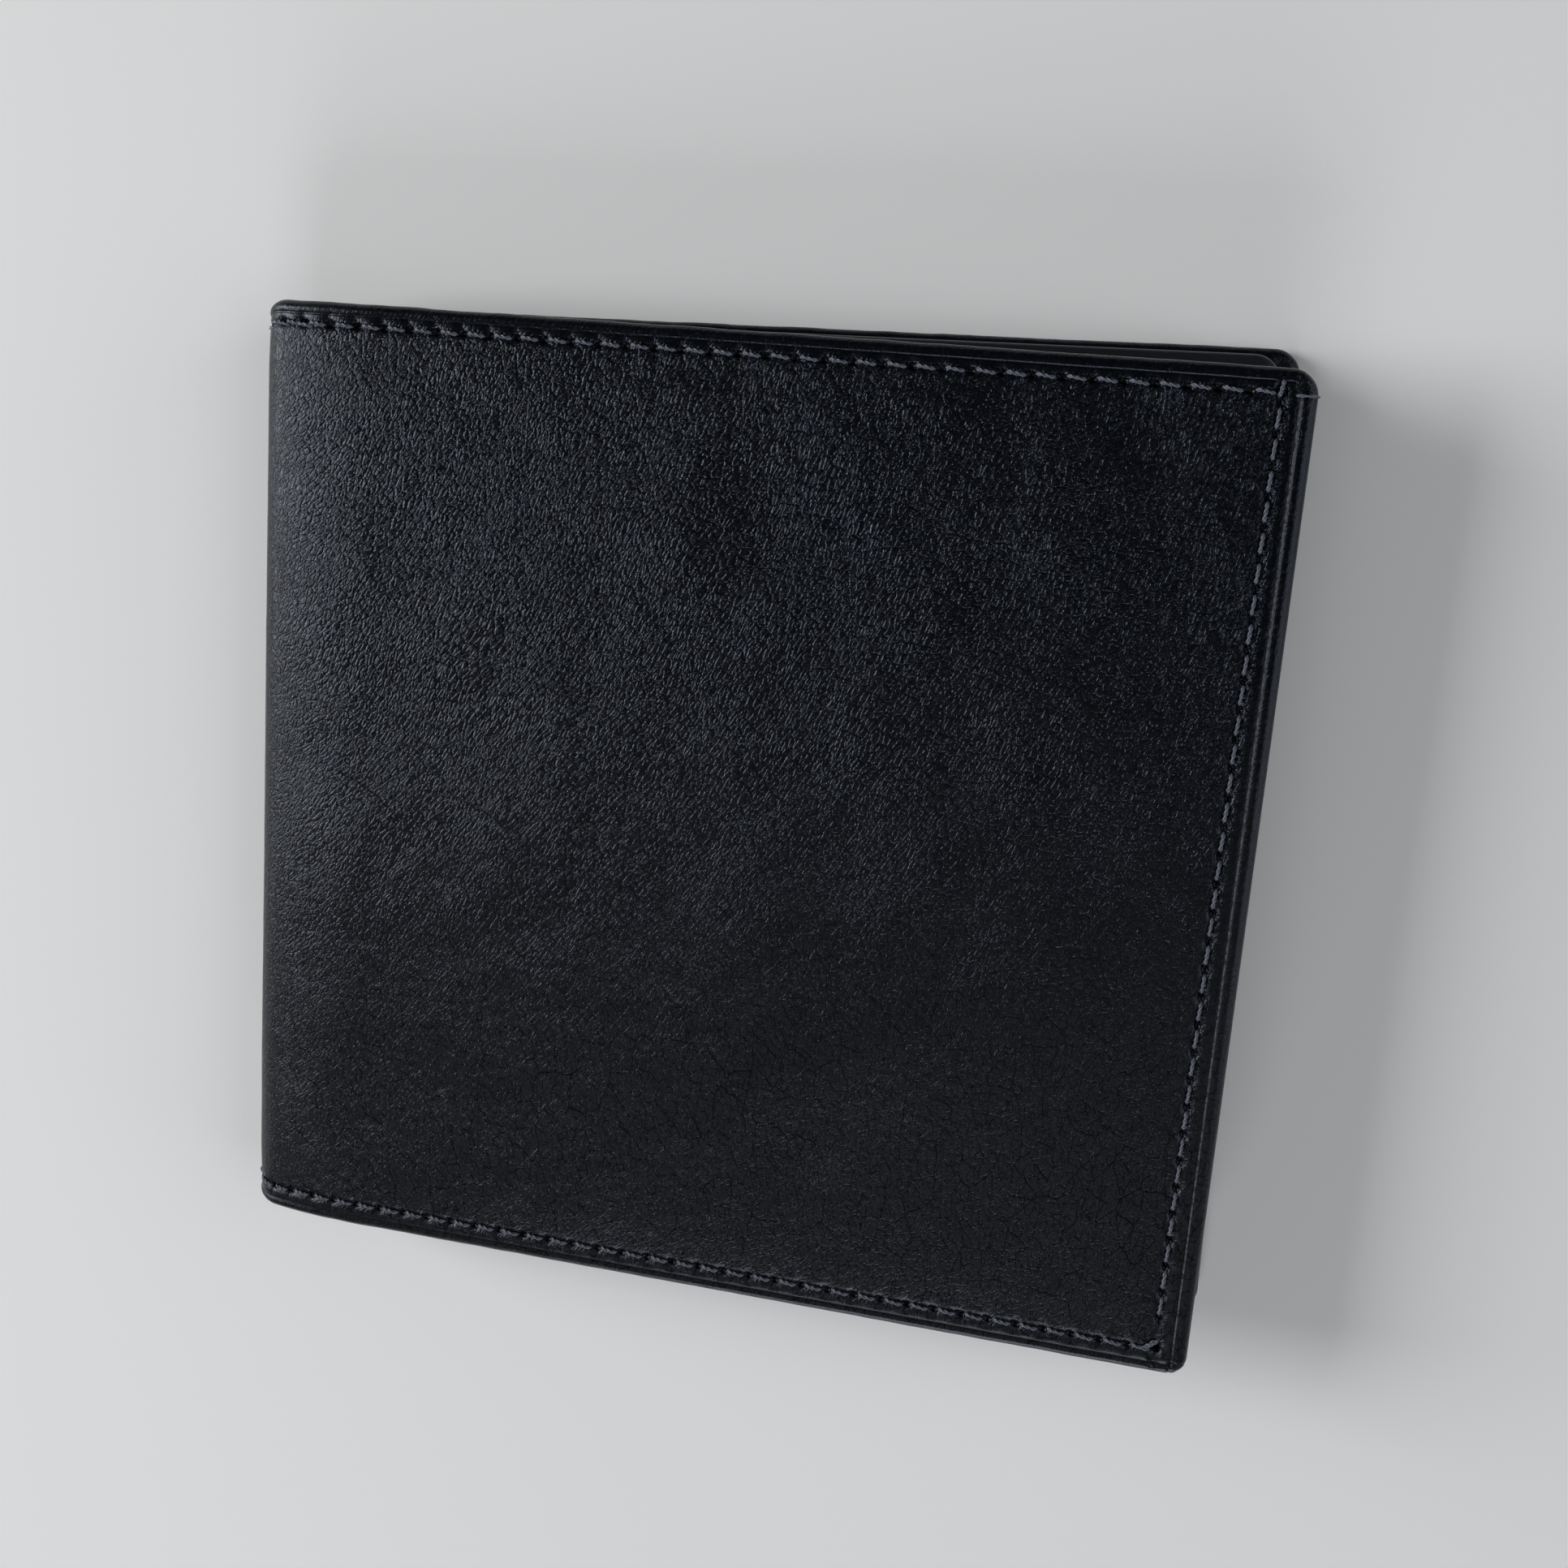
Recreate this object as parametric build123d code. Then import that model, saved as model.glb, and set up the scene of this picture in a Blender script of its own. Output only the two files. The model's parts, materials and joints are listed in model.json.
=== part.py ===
from build123d import *
from math import cos, degrees, hypot, radians, sin
import os

# Book-style leather wallet with a centre leaf, lying on its back cover.
# X runs from the fold to the free edge, Y up the covers, Z from the back cover to the front.
# The origin is the middle of the back cover's outer face. Millimetres and degrees.

# Overall form
cover_height = 100.0
cover_lift = 0.9              # degrees that the front cover rises towards its free edge
out_of_square = 0.65          # degrees that each cover's edges are turned from square to the fold
fold_radius = 4.0
fold_gap = 0.15               # between the folded skins where they are parted at 45 degrees
upper_corner_radius = 2.6
lower_corner_radius = 2.0
least_corner_radius = 0.3     # of the layers inside the turned edges

# Thicknesses of the leather and the rest
skin = 0.9
reinforcement = 0.4
hem = 0.5
panel_leather = 0.5
pocket_leather = 0.4
leaf_leather = 0.45
leaf_board = 0.6
window_film = 0.25

# Turned edges
hem_width = 9.0
edge_round = 0.8
inner_edge_round = 0.5
panel_edge_round = 0.2
bill_gap = 0.4
ledge_width = 6.5

# Inner panel and card pockets on each cover
panel_from_fold = 2.0         # from the end of the fold's curve to the inner panel
panel_side_inset = 1.2
panel_top_inset = 1.6
panel_bottom_inset = 1.3
card_length = 85.6
card_height = 54.0
card_play = 3.4
pocket_count = 3
pocket_step = 13.0
card_show = 8.65              # height of a card that stands out of its slot
pocket_seam_margin = 1.9
pocket_from_panel = 4.8       # from the inner panel's edge beside the fold to the pockets
pocket_corner_radius = 3.0
pocket_inset = 0.15           # each pocket stays inside the one below it

# Centre leaf
leaf_play = 0.55              # free space on each side of the leaf, beside the fold
leaf_from_hinge = 1.95        # from the hinge line to the leaf's leather
leaf_edge_inset = 2.2         # leaf's free edge inside the back cover's
leaf_top_inset = 0.9
leaf_corner_radius = 2.4
hinge_overlap = 5.5           # hinge strip held between the leaf's panels
hinge_gap = 0.15
tape_width = 6.0
tape_thickness = 0.4
window_lip = 4.7              # leather over each edge of the card in the window
window_corner_radius = 4.0
window_bottom = 9.0
film_play = 0.4               # round the film, in the board's cut-out
film_corner_radius = 1.5
cut_out_corner_radius = 2.0
leaf_top_slack = 0.2

# Sewing
stitch_pitch = 2.84
stitch_length = 2.25
thread = 0.42
thread_rest = 0.03            # thread below the leather's face, so that it carries no weight
groove_width = 0.9
top_seam = 2.25
bottom_seam = 2.65
side_seam = 3.3
side_seam_lead = 0.55         # side seam's first hole below the top edge
leaf_seam = 2.3
leaf_groove_depth = 0.2
seam_start = 0.7              # from the fold's tangent line to the first stitch

# Levels through a cover, measured inwards from its outer face
under_skin = skin
under_hem = skin + reinforcement
cover_edge = under_hem + hem
under_panel = cover_edge + bill_gap
on_panel = under_panel + panel_leather
cover_stack = on_panel + pocket_count * pocket_leather
leaf_thickness = 2 * leaf_leather + leaf_board + pocket_leather
spine_depth = 2 * cover_stack + leaf_thickness + 2 * leaf_play
half_height = cover_height / 2
panel_start = fold_radius + panel_from_fold
pocket_left = panel_start + pocket_from_panel
side_seam_x = pocket_left + pocket_seam_margin + card_play + card_length
cover_width = side_seam_x + side_seam

# Slots for cards, measured from the edge that the pockets hang from
pocket_rise = bottom_seam + card_height - card_show
leaf_pocket_rise = leaf_seam + card_height - card_show
window_length = card_length - 2 * window_lip
window_height = card_height - 2 * window_lip
groove_depth = thread_rest + thread

# Leaf hinge line, on the inside of the spine
hinge_radius = leaf_board / 2
spine_inside = cover_edge + tape_thickness
hinge_x = spine_inside + hinge_gap + hinge_radius
hinge_z = spine_depth / 2 + pocket_leather / 2

REACH = 4 * (cover_width + cover_height)   # longer than any piece, for cutting blocks
PAST = 1.0                                 # how far a cut runs past the face that it opens


def arc_point(radius, angle):
    """Point of a circle round the fold's centre, in the fold's own section."""
    x = fold_radius + radius * cos(radians(angle))
    return (x, fold_radius + radius * sin(radians(angle)))


def fold_section(low, high, straight, end_angle):
    """Section of a sheet between two depths: straight past the fold, then round part of it."""
    outer = fold_radius - low
    inner = fold_radius - high
    turn = 270 - end_angle
    lines = [
        Line((straight, low), (fold_radius, low)),
        CenterArc((fold_radius, fold_radius), outer, end_angle, turn),
        Line(arc_point(outer, end_angle), arc_point(inner, end_angle)),
        CenterArc((fold_radius, fold_radius), inner, end_angle, turn),
        Line((fold_radius, high), (straight, high)),
        Line((straight, high), (straight, low)),
    ]
    return make_face(lines)


def split_angle():
    """Angle at which a cover's skin is parted from the spine's."""
    return 225 + degrees(fold_gap / 2 / fold_radius)


def cover_sheet(low, high):
    """Sheet between two depths of a cover, endless up and down, round to the fold's middle."""
    section = fold_section(low, high, 2 * cover_width, split_angle())
    return extrude(Plane.XZ * section, REACH / 2, both=True)


def spine_sheet(low, high):
    """Sheet between two depths of the spine, endless up and down, with half of both folds."""
    section = fold_section(low, high, spine_depth / 2, split_angle())
    lower = Plane.XZ * mirror(section, about=Plane(origin=(0, 0, 0), z_dir=(-1, 1, 0)))
    upper = mirror(lower, about=Plane.XY.offset(spine_depth / 2))
    return extrude(lower + upper, REACH / 2, both=True)


def block(left, right, bottom, top, radii=(0, 0), turn=0.0, low=-REACH, high=REACH):
    """Upright block; radii round its upper and lower free corners; turn is about the fold."""
    face = Pos((left + right) / 2, (bottom + top) / 2) * Rectangle(right - left, top - bottom)
    for radius, corner_y in zip(radii, (top, bottom)):
        if radius > 0:
            at = [v for v in face.vertices() if abs(v.X - right) < 1e-6 and abs(v.Y - corner_y) < 1e-6]
            face = fillet(at, radius)
    return extrude(Pos(0, 0, low) * (Rot(0, 0, turn) * face), high - low)


def cover_block(turn, side=0.0, top=0.0, bottom=0.0, low=-REACH, high=REACH):
    """Block over a cover's outline, drawn in from its edges; open past the fold."""
    corner_radii = (upper_corner_radius, lower_corner_radius)
    radii = [max(radius - side, least_corner_radius) for radius in corner_radii]
    right = cover_width - side
    return block(-cover_width, right, bottom - half_height, half_height - top, radii, turn, low, high)


def depth_in_cover(point):
    """How deep a point lies under a cover's outer face, round the fold too."""
    if point.X >= fold_radius:
        return point.Z
    return fold_radius - hypot(point.X - fold_radius, point.Z - fold_radius)


def rim_edges(shape, depth, fold_x):
    """Edges round a sheet's rim at one depth, without those that run along the fold."""
    found = []
    for edge in shape.edges():
        middle = edge @ 0.5
        along_fold = abs((edge % 0.5).Y) > 0.99 and middle.X < fold_x
        if abs(depth_in_cover(middle) - depth) < 1e-3 and not along_fold:
            found.append(edge)
    return found


def seam_strip(left, right, y, turn):
    """Block over a straight seam up the cover's width."""
    return block(left, right, y - groove_width / 2, y + groove_width / 2, (0, 0), turn)


def seam_column(x, bottom, top, turn):
    """Block over a straight seam up the cover's height."""
    return block(x - groove_width / 2, x + groove_width / 2, bottom, top, (0, 0), turn)


top_seam_y = half_height - top_seam
bottom_seam_y = bottom_seam - half_height
side_seam_top = half_height - side_seam_lead


def cover_skin(turn):
    """Outer leather of a cover, turned over its board on three edges and round half the fold."""
    outline = cover_block(turn)
    leather = cover_sheet(0, cover_edge) & outline
    leather = fillet(rim_edges(leather, 0, cover_width / 2), edge_round)
    leather = fillet(rim_edges(leather, cover_edge, cover_width / 2), inner_edge_round)
    leather -= cover_sheet(under_skin, under_hem) & cover_block(turn, skin, skin, skin)
    leather -= cover_sheet(under_hem, cover_edge + PAST) & cover_block(turn, hem_width, hem_width, hem_width)
    groove = cover_sheet(-PAST, groove_depth)
    run_out = side_seam_x + groove_width / 2
    leather -= groove & seam_strip(-cover_width, run_out, top_seam_y, turn)
    leather -= groove & seam_strip(-cover_width, run_out, bottom_seam_y, turn)
    leather -= groove & seam_column(side_seam_x, bottom_seam_y - groove_width / 2, side_seam_top, turn)
    return leather


def cover_reinforcement(turn):
    """Bonded-leather sheet inside the turned edges."""
    return cover_sheet(under_skin, under_hem) & cover_block(turn, skin, skin, skin)


def cover_lining(turn):
    """Lining that fills the frame of the turned edges, flush with them."""
    return cover_sheet(under_hem, cover_edge) & cover_block(turn, hem_width, hem_width, hem_width)


def inner_panel(turn):
    """Inner panel on a three-sided turned ledge, which leaves the note compartment open at the top."""
    left = panel_start
    right = cover_width - panel_side_inset
    bottom = panel_bottom_inset - half_height
    top = half_height - panel_top_inset
    radii = (upper_corner_radius, lower_corner_radius)
    panel = block(left, right, bottom, top, radii, turn, cover_edge, on_panel)
    inner_right = right - ledge_width
    room = block(left + ledge_width, inner_right, bottom + ledge_width, top + 2 * cover_height, (0, 0), turn,
                 cover_edge, under_panel)
    return panel - room


def card_pocket(turn, index):
    """One card pocket; index 0 lies on the inner panel and opens highest."""
    left = pocket_left + index * pocket_inset
    right = cover_width - panel_side_inset - (index + 1) * pocket_inset
    bottom = panel_bottom_inset - half_height + (index + 1) * pocket_inset
    top = pocket_rise - half_height + (pocket_count - 1 - index) * pocket_step
    low = on_panel + index * pocket_leather
    sheet = block(left, right, bottom, top, (0, lower_corner_radius), turn, low, low + pocket_leather)
    square = Rot(0, 0, -turn) * sheet
    corner = [e for e in square.edges().filter_by(Axis.Z)
              if abs((e @ 0.5).X - left) < 1e-4 and abs((e @ 0.5).Y - top) < 1e-4]
    return Rot(0, 0, turn) * fillet(corner, pocket_corner_radius)


def stitch_solid():
    """One stitch: a straight length of thread along X, pressed flat on its four sides."""
    return Box(stitch_length, thread, thread)


def stitch_places(start, end):
    """Middles of the stitches that fit between two ends of a seam."""
    count = int((end - start) / stitch_pitch + 1e-6)
    slack = (end - start) - count * stitch_pitch
    return [start + slack + (i + 0.5) * stitch_pitch for i in range(count)]


def across_seam(y, left, right, turn, level):
    """Stitches along X at one height of a cover or leaf."""
    one = stitch_solid()
    return [Rot(0, 0, turn) * Pos(x, y, level) * one for x in stitch_places(left, right)]


def upright_seam(x, bottom, top, turn, level):
    """Stitches along Y."""
    one = Rot(0, 0, 90) * stitch_solid()
    return [Rot(0, 0, turn) * Pos(x, y, level) * one for y in stitch_places(bottom, top)]


thread_level = thread_rest + thread / 2


def cover_pieces(turn):
    """All pieces of one cover, lying with its outer face on Z = 0."""
    left = fold_radius + seam_start
    pieces = {
        "outer_leather": cover_skin(turn),
        "reinforcement": cover_reinforcement(turn),
        "note_lining": cover_lining(turn),
        "inner_panel": inner_panel(turn),
        "top_seam": Compound(across_seam(top_seam_y, left, side_seam_x, turn, thread_level)),
        "bottom_seam": Compound(across_seam(bottom_seam_y, left, side_seam_x, turn, thread_level)),
    }
    clear = thread + groove_width / 2
    side = upright_seam(side_seam_x, bottom_seam_y + clear, top_seam_y - clear, turn, thread_level)
    pieces["side_seam"] = Compound(side)
    for index in range(pocket_count):
        pieces[f"card_pocket_{index + 1}"] = card_pocket(turn, index)
    return pieces


def spine_block(inset):
    """Block over the spine's height, drawn in at the top and bottom."""
    return block(-cover_width, cover_width, inset - half_height, half_height - inset)


def spine_skin():
    """Outer leather of the spine, turned in at the top and bottom and round half of both folds."""
    leather = spine_sheet(0, cover_edge) & spine_block(0)
    outer_rim = [e for e in leather.edges() if abs(abs((e @ 0.5).Y) - half_height) < 1e-4
                 and spine_depth_at(e @ 0.5) < 1e-3]
    leather = fillet(outer_rim, edge_round)
    leather -= spine_sheet(under_skin, under_hem) & spine_block(skin)
    leather -= spine_sheet(under_hem, cover_edge + PAST) & spine_block(hem_width)
    groove = spine_sheet(-PAST, groove_depth)
    leather -= groove & seam_strip(-cover_width, cover_width, top_seam_y, 0)
    leather -= groove & seam_strip(-cover_width, cover_width, bottom_seam_y, 0)
    return leather


def spine_depth_at(point):
    """How deep a point lies under the spine's outer face, round both folds."""
    z = min(point.Z, spine_depth - point.Z)
    if z >= fold_radius:
        return point.X
    return fold_radius - hypot(point.X - fold_radius, z - fold_radius)


def spine_stitch(y, along):
    """One stitch on the spine, at a distance along its outer face from mid-depth."""
    straight = spine_depth / 2 - fold_radius
    beyond = max(abs(along) - straight, 0) / fold_radius
    side = 1 if along > 0 else -1
    angle = side * degrees(beyond)
    centre_z = spine_depth / 2 + side * straight if beyond > 0 else spine_depth / 2 + along
    at = Pos(fold_radius, y, centre_z) * Rot(0, angle, 0) * Pos(thread_level - fold_radius, 0, 0)
    return at * Rot(0, 90, 0) * stitch_solid()


def spine_seam(y):
    """The stitches of a seam that goes round the spine."""
    return Compound([spine_stitch(y, step * stitch_pitch) for step in (-1, 0, 1)])


def hinge_tape():
    """Leather tape glued down the middle of the spine's lining, which carries the centre leaf."""
    length = cover_height - 2 * hem_width
    room = Pos(0, 0, spine_depth / 2) * Box(2 * cover_width, length, tape_width)
    return spine_sheet(cover_edge, spine_inside) & room


def spine_pieces():
    """All pieces of the spine, standing on the back cover's fold."""
    inside = spine_block(hem_width)
    return {
        "spine_outer_leather": spine_skin(),
        "spine_reinforcement": spine_sheet(under_skin, under_hem) & spine_block(skin),
        "spine_lining": spine_sheet(under_hem, cover_edge) & inside,
        "spine_hinge_tape": hinge_tape(),
        "spine_top_seam": spine_seam(top_seam_y),
        "spine_bottom_seam": spine_seam(bottom_seam_y),
    }


# The leaf is drawn flat, with Z = 0 halfway through its board and X from the hinge line.
leaf_left = leaf_from_hinge
leaf_right = cover_width - leaf_edge_inset - hinge_x
leaf_top = half_height - leaf_top_inset
leaf_bottom = -leaf_top
leaf_turn = out_of_square
front_face = leaf_board / 2 + leaf_leather


def leaf_block(low, high, inset=0.0):
    """Sheet of the leaf's outline between two levels."""
    radius = leaf_corner_radius - inset
    return block(leaf_left, leaf_right - inset, leaf_bottom + inset, leaf_top - inset, (radius, radius),
                 leaf_turn, low, high)


def leaf_centre():
    """Middle of the leaf's card window, across the leaf."""
    return (leaf_left + hinge_overlap + leaf_right) / 2


def window_block(length, height, radius, low, high):
    """Rounded block centred on the leaf's card window."""
    middle_y = leaf_bottom + window_bottom + window_height / 2
    face = Pos(leaf_centre(), middle_y) * RectangleRounded(length, height, radius)
    return extrude(Pos(0, 0, low) * (Rot(0, 0, leaf_turn) * face), high - low)


def ease_rim(sheet, level):
    """Rounds a sheet's edges at one level."""
    rim = [e for e in sheet.edges() if abs((e @ 0.5).Z - level) < 1e-4]
    return fillet(rim, panel_edge_round)


def leaf_panel(low, face_level):
    """Front panel of the leaf, with its outer edges eased and a seam groove."""
    panel = ease_rim(leaf_block(low, face_level), face_level)
    floor = face_level - leaf_groove_depth
    channel = Pos(0, 0, floor) * extrude(Rectangle(REACH, REACH), leaf_groove_depth)
    left, right, low_seam, high_seam = leaf_seam_lines()
    overlap = groove_width / 2
    strips = seam_strip(left - overlap, right + overlap, high_seam, leaf_turn)
    strips += seam_strip(left - overlap, right + overlap, low_seam, leaf_turn)
    strips += seam_column(right, low_seam, high_seam, leaf_turn)
    strips += seam_column(left, low_seam, high_seam, leaf_turn)
    return panel - (channel & strips)


def leaf_seam_lines():
    """Left, right, lower and upper lines of the leaf's sewing."""
    return (leaf_left + leaf_seam, leaf_right - leaf_seam, leaf_bottom + leaf_seam, leaf_top - leaf_seam)


def leaf_seam_stitches():
    """Stitches round the four sides of the leaf, in the front panel's groove."""
    level = front_face - leaf_groove_depth + thread / 2
    left, right, low, high = leaf_seam_lines()
    clear = thread + groove_width / 2
    stitches = across_seam(high, left, right, leaf_turn, level)
    stitches += across_seam(low, left, right, leaf_turn, level)
    stitches += upright_seam(left, low + clear, high - clear, leaf_turn, level)
    stitches += upright_seam(right, low + clear, high - clear, leaf_turn, level)
    return Compound(stitches)


def leaf_hinge_strip():
    """Strip of leather with a rounded edge on the hinge line, held between the leaf's panels."""
    half_length = half_height - hem_width
    tongue = block(0, leaf_left + hinge_overlap, -half_length, half_length,
                   low=-hinge_radius, high=hinge_radius)
    return tongue + Rot(90, 0, 0) * Cylinder(hinge_radius, 2 * half_length)


def leaf_pieces():
    """All pieces of the centre leaf, drawn flat round its hinge line."""
    half = leaf_board / 2
    front = leaf_panel(half, front_face)
    front -= window_block(window_length, window_height, window_corner_radius, half - PAST, front_face + PAST)
    board = leaf_block(-half, half, leaf_top_slack)
    board -= block(-REACH, leaf_left + hinge_overlap + hinge_gap, -REACH, REACH)
    card_cut = (card_length + 2 * film_play, card_height + 2 * film_play)
    board -= window_block(card_cut[0], card_cut[1], cut_out_corner_radius, -half - PAST, half + PAST)
    back = ease_rim(leaf_block(-front_face, -half), -front_face)
    pocket_low = -front_face - pocket_leather
    pocket_top = leaf_bottom + leaf_pocket_rise
    pocket = block(leaf_left + leaf_seam, leaf_right - pocket_inset, leaf_bottom + pocket_inset, pocket_top,
                   (0, leaf_corner_radius), leaf_turn, pocket_low, -front_face)
    film = window_block(card_length, card_height, film_corner_radius, half - window_film, half)
    return {
        "leaf_front_panel": front,
        "leaf_back_panel": back,
        "leaf_board": board,
        "leaf_card_window": film,
        "leaf_card_pocket": pocket,
        "leaf_hinge_strip": leaf_hinge_strip(),
        "leaf_seam": leaf_seam_stitches(),
    }


def place_pieces():
    """Every piece of the closed wallet, by name, in the wallet's own frame."""
    to_origin = Pos(-cover_width / 2, 0, 0)
    placed = {}
    for name, shape in cover_pieces(out_of_square).items():
        placed[f"back_{name}"] = to_origin * shape
    lift = Pos(0, 0, spine_depth) * Rot(0, -cover_lift, 0)
    for name, shape in cover_pieces(-out_of_square).items():
        placed[f"front_{name}"] = to_origin * lift * mirror(shape, about=Plane.XY)
    for name, shape in spine_pieces().items():
        placed[name] = to_origin * shape
    leaf_place = Pos(hinge_x, 0, hinge_z) * Rot(0, -cover_lift / 2, 0)
    for name, shape in leaf_pieces().items():
        placed[name] = to_origin * leaf_place * shape
    return placed


os.makedirs("parts", exist_ok=True)
for node, solid in place_pieces().items():
    export_step(solid, f"parts/{node}.step")

print("spine_fold at", (-cover_width / 2, 0, 0))
print("front_fold at", (-cover_width / 2, 0, spine_depth))
print("leaf_turn at", (hinge_x - cover_width / 2, 0, hinge_z))
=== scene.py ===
import bpy
import json
import random
from math import atan2, cos, pi, radians, sin
import numpy as np
from mathutils import Matrix, Vector, noise


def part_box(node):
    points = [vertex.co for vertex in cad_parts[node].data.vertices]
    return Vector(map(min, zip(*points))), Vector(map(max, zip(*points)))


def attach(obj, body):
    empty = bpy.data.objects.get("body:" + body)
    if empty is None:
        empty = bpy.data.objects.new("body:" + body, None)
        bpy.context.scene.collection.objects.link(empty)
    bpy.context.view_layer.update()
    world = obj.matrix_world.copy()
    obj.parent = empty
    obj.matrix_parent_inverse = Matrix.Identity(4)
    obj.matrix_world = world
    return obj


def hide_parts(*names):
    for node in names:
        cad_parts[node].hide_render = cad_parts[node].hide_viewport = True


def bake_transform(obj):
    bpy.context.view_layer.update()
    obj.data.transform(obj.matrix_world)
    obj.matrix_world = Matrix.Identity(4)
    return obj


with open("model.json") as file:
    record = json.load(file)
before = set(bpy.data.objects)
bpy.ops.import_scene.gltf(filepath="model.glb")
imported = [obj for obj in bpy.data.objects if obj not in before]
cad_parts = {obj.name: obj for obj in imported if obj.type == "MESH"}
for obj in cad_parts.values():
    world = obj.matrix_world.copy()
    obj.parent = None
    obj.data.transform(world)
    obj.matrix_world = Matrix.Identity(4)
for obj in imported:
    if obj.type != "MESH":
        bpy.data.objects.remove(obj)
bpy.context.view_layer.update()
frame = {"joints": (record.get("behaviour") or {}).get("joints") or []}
joint_place = {joint["name"]: joint["pos_m"] for joint in frame["joints"]}
random.seed(7)

# The wallet is worked out in millimetres and written to the meshes in metres.
MM = 0.001
map_unit = 100.0  # mm to one unit of the UV maps

# Main sizes, from the frame
fold_x = joint_place["spine_fold"][0] / MM
spine_depth = joint_place["front_fold"][2] / MM
hinge_x = joint_place["leaf_turn"][0] / MM
hinge_z = joint_place["leaf_turn"][2] / MM
cover_width = -2 * fold_x
half_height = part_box("spine_outer_leather")[1][1] / MM

# Shape of the covers
cover_lift = radians(0.9)
out_of_square = radians(0.65)
square_run = 16.0  # how far from the fold a cover reaches its full skew
fold_radius = 4.0
edge_thickness = 1.8
hem_width = 9.0
hem_floor = 1.27  # depth of the shell's inside face, under the lining
lower_corner = 2.0  # radii of the covers' corners
upper_corner = 2.6
fold_ease = 0.75  # how much the face falls away towards the fold
fold_ease_length = 9.5
fold_draw_in = 1.15  # how much the turned edges draw in at the fold
fold_corner = 1.9  # how far from the spine's face that begins
draw_in_power = 6  # how closely that keeps to the ends

# Sewing
stitch_pitch = 2.84
top_seam = 2.25
bottom_seam = 2.65
side_seam = 3.3
seam_start = 0.7
corner_gap = 0.87  # from a long seam to the side seam's first stitch
edge_crease = 1.25  # pressed line inside the top and bottom edges
side_crease = 1.5  # pressed line inside the free edge
seams_v = {"top": half_height - top_seam, "bottom": bottom_seam - half_height}
side_seam_u = cover_width - side_seam
hole_slant = 0.4  # awl holes lean across their seam by this much of their width
thread_radius = 0.13
ply_sides = 5
ply_cuts = 8
ply_offset = 0.085
ply_twist = radians(560)
stitch_length = 2.0
stitch_rise = 0.16
stitch_sunk = {"front": 0.13, "back": 0.45}
stitch_drop = 0.55  # how far a stitch's ends go down in their holes
drop_power = 5  # how closely that keeps to its ends
stitch_slant = -0.3
leaf_stitch_slant = 0.16
wrap_length = 3.6  # the last stitch of the top seam, round the free edge
# How much stitches differ: in place along the seam, in width and in height
uneven_place, uneven_width, uneven_height = (-0.05, 0.05), (0.9, 1.08), (-0.02, 0.03)

# Relief of the covers' leather
valley_depth = {"front": 0.13, "back": 0.38}
valley_width = 0.42
dip_depth = 0.45  # where the leather is drawn down at an awl hole
dip_length = 0.48
dip_width = 0.36
beside_seam = 0.75  # how far from a seam its puckers and swellings lie
long_pucker = 0.07
side_pucker = 0.05
pucker_reach = 0.4
pucker_width = 0.24
pucker_lean = 0.25
swelling = 0.05
swelling_width = 0.35
long_seam_past = 1.3  # where the long seams' relief ends, past the side seam
long_seam_fade = 0.7
side_seam_stop = 0.6  # where the side seam's relief ends, before the top and bottom edges
end_crease_depth = 0.09
end_crease_width = 0.22
side_crease_depth = 0.11
side_crease_width = 0.24
end_rim = 0.55  # raised rims, this far outside the pressed lines
side_rim = 0.6
rim_height = 0.05
rim_width = 0.3
face_height = 0.10  # how much the leather swells inside its seams
face_start = 3.0  # how far inside the top and bottom edges that begins
face_fade = 4.0
wave_height = 0.06
small_wave_height = 0.02
wave_size = 30.0
short_wave_size = 7.0
shortest_wave_size = 2.6
wave_seed = {"front": 3.7, "back": 8.2}
edge_waves = ((0.07, 7.0, 5.1), (0.05, 1.9, 6.4))  # height, size and seed of the turned edge's waves
spine_fade = 2.5  # all relief fades out over this length to the middle of the spine
back_sunk = 0.02  # the back cover lies on the floor, so its relief only goes inwards

# Inside of the covers: depths under the outer face, and the inner panel's and pockets' edges
board_inset = 0.95
board_face = 1.24
board_thickness = 0.3
lining_face = 1.78
lining_thickness = 0.44
tape_thickness = 0.4
tape_width = 6.0
panel_face = 2.7
panel_leather = 0.5
panel_corners = (2.0, 2.0, 2.4, 2.4)  # radii: lower left, lower right, upper left, upper right
panel_ledge_rows = (0.6, 5.5)  # the run beneath its ledge
panel_thinning = 4.0  # how far below its open top edge the panel begins to thin to one leather
panel_thins_over = 3.0
panel_groove_depth = 0.12
panel_groove_width = 0.5
panel_wave_height = 0.05
panel_wave_size = 14.0
pocket_leather = 0.4
panel_left = fold_radius + 2.0
panel_right = cover_width - 1.2
panel_bottom = 1.3 - half_height
panel_top = half_height - 1.6
pocket_left = panel_left + 4.8
pocket_corners = (1.0, 2.0, 3.0, 1.0)
pocket_inset = 0.15
pocket_count = 3
pocket_step = 13.0
card_length = 85.6
card_height = 54.0
card_show = 8.65
mouth_line = 1.5  # pressed line under a pocket's mouth
mouth_line_depth = 0.07
mouth_line_width = 0.22
mouth_lip = 0.6  # swelling between that line and the mouth
mouth_lip_height = 0.05
mouth_lip_width = 0.5
pocket_wave_height = 0.05
pocket_wave_size = 16.0
lowest_slot = bottom_seam + card_height - card_show - half_height
highest_slot = lowest_slot + (pocket_count - 1) * pocket_step

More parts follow.
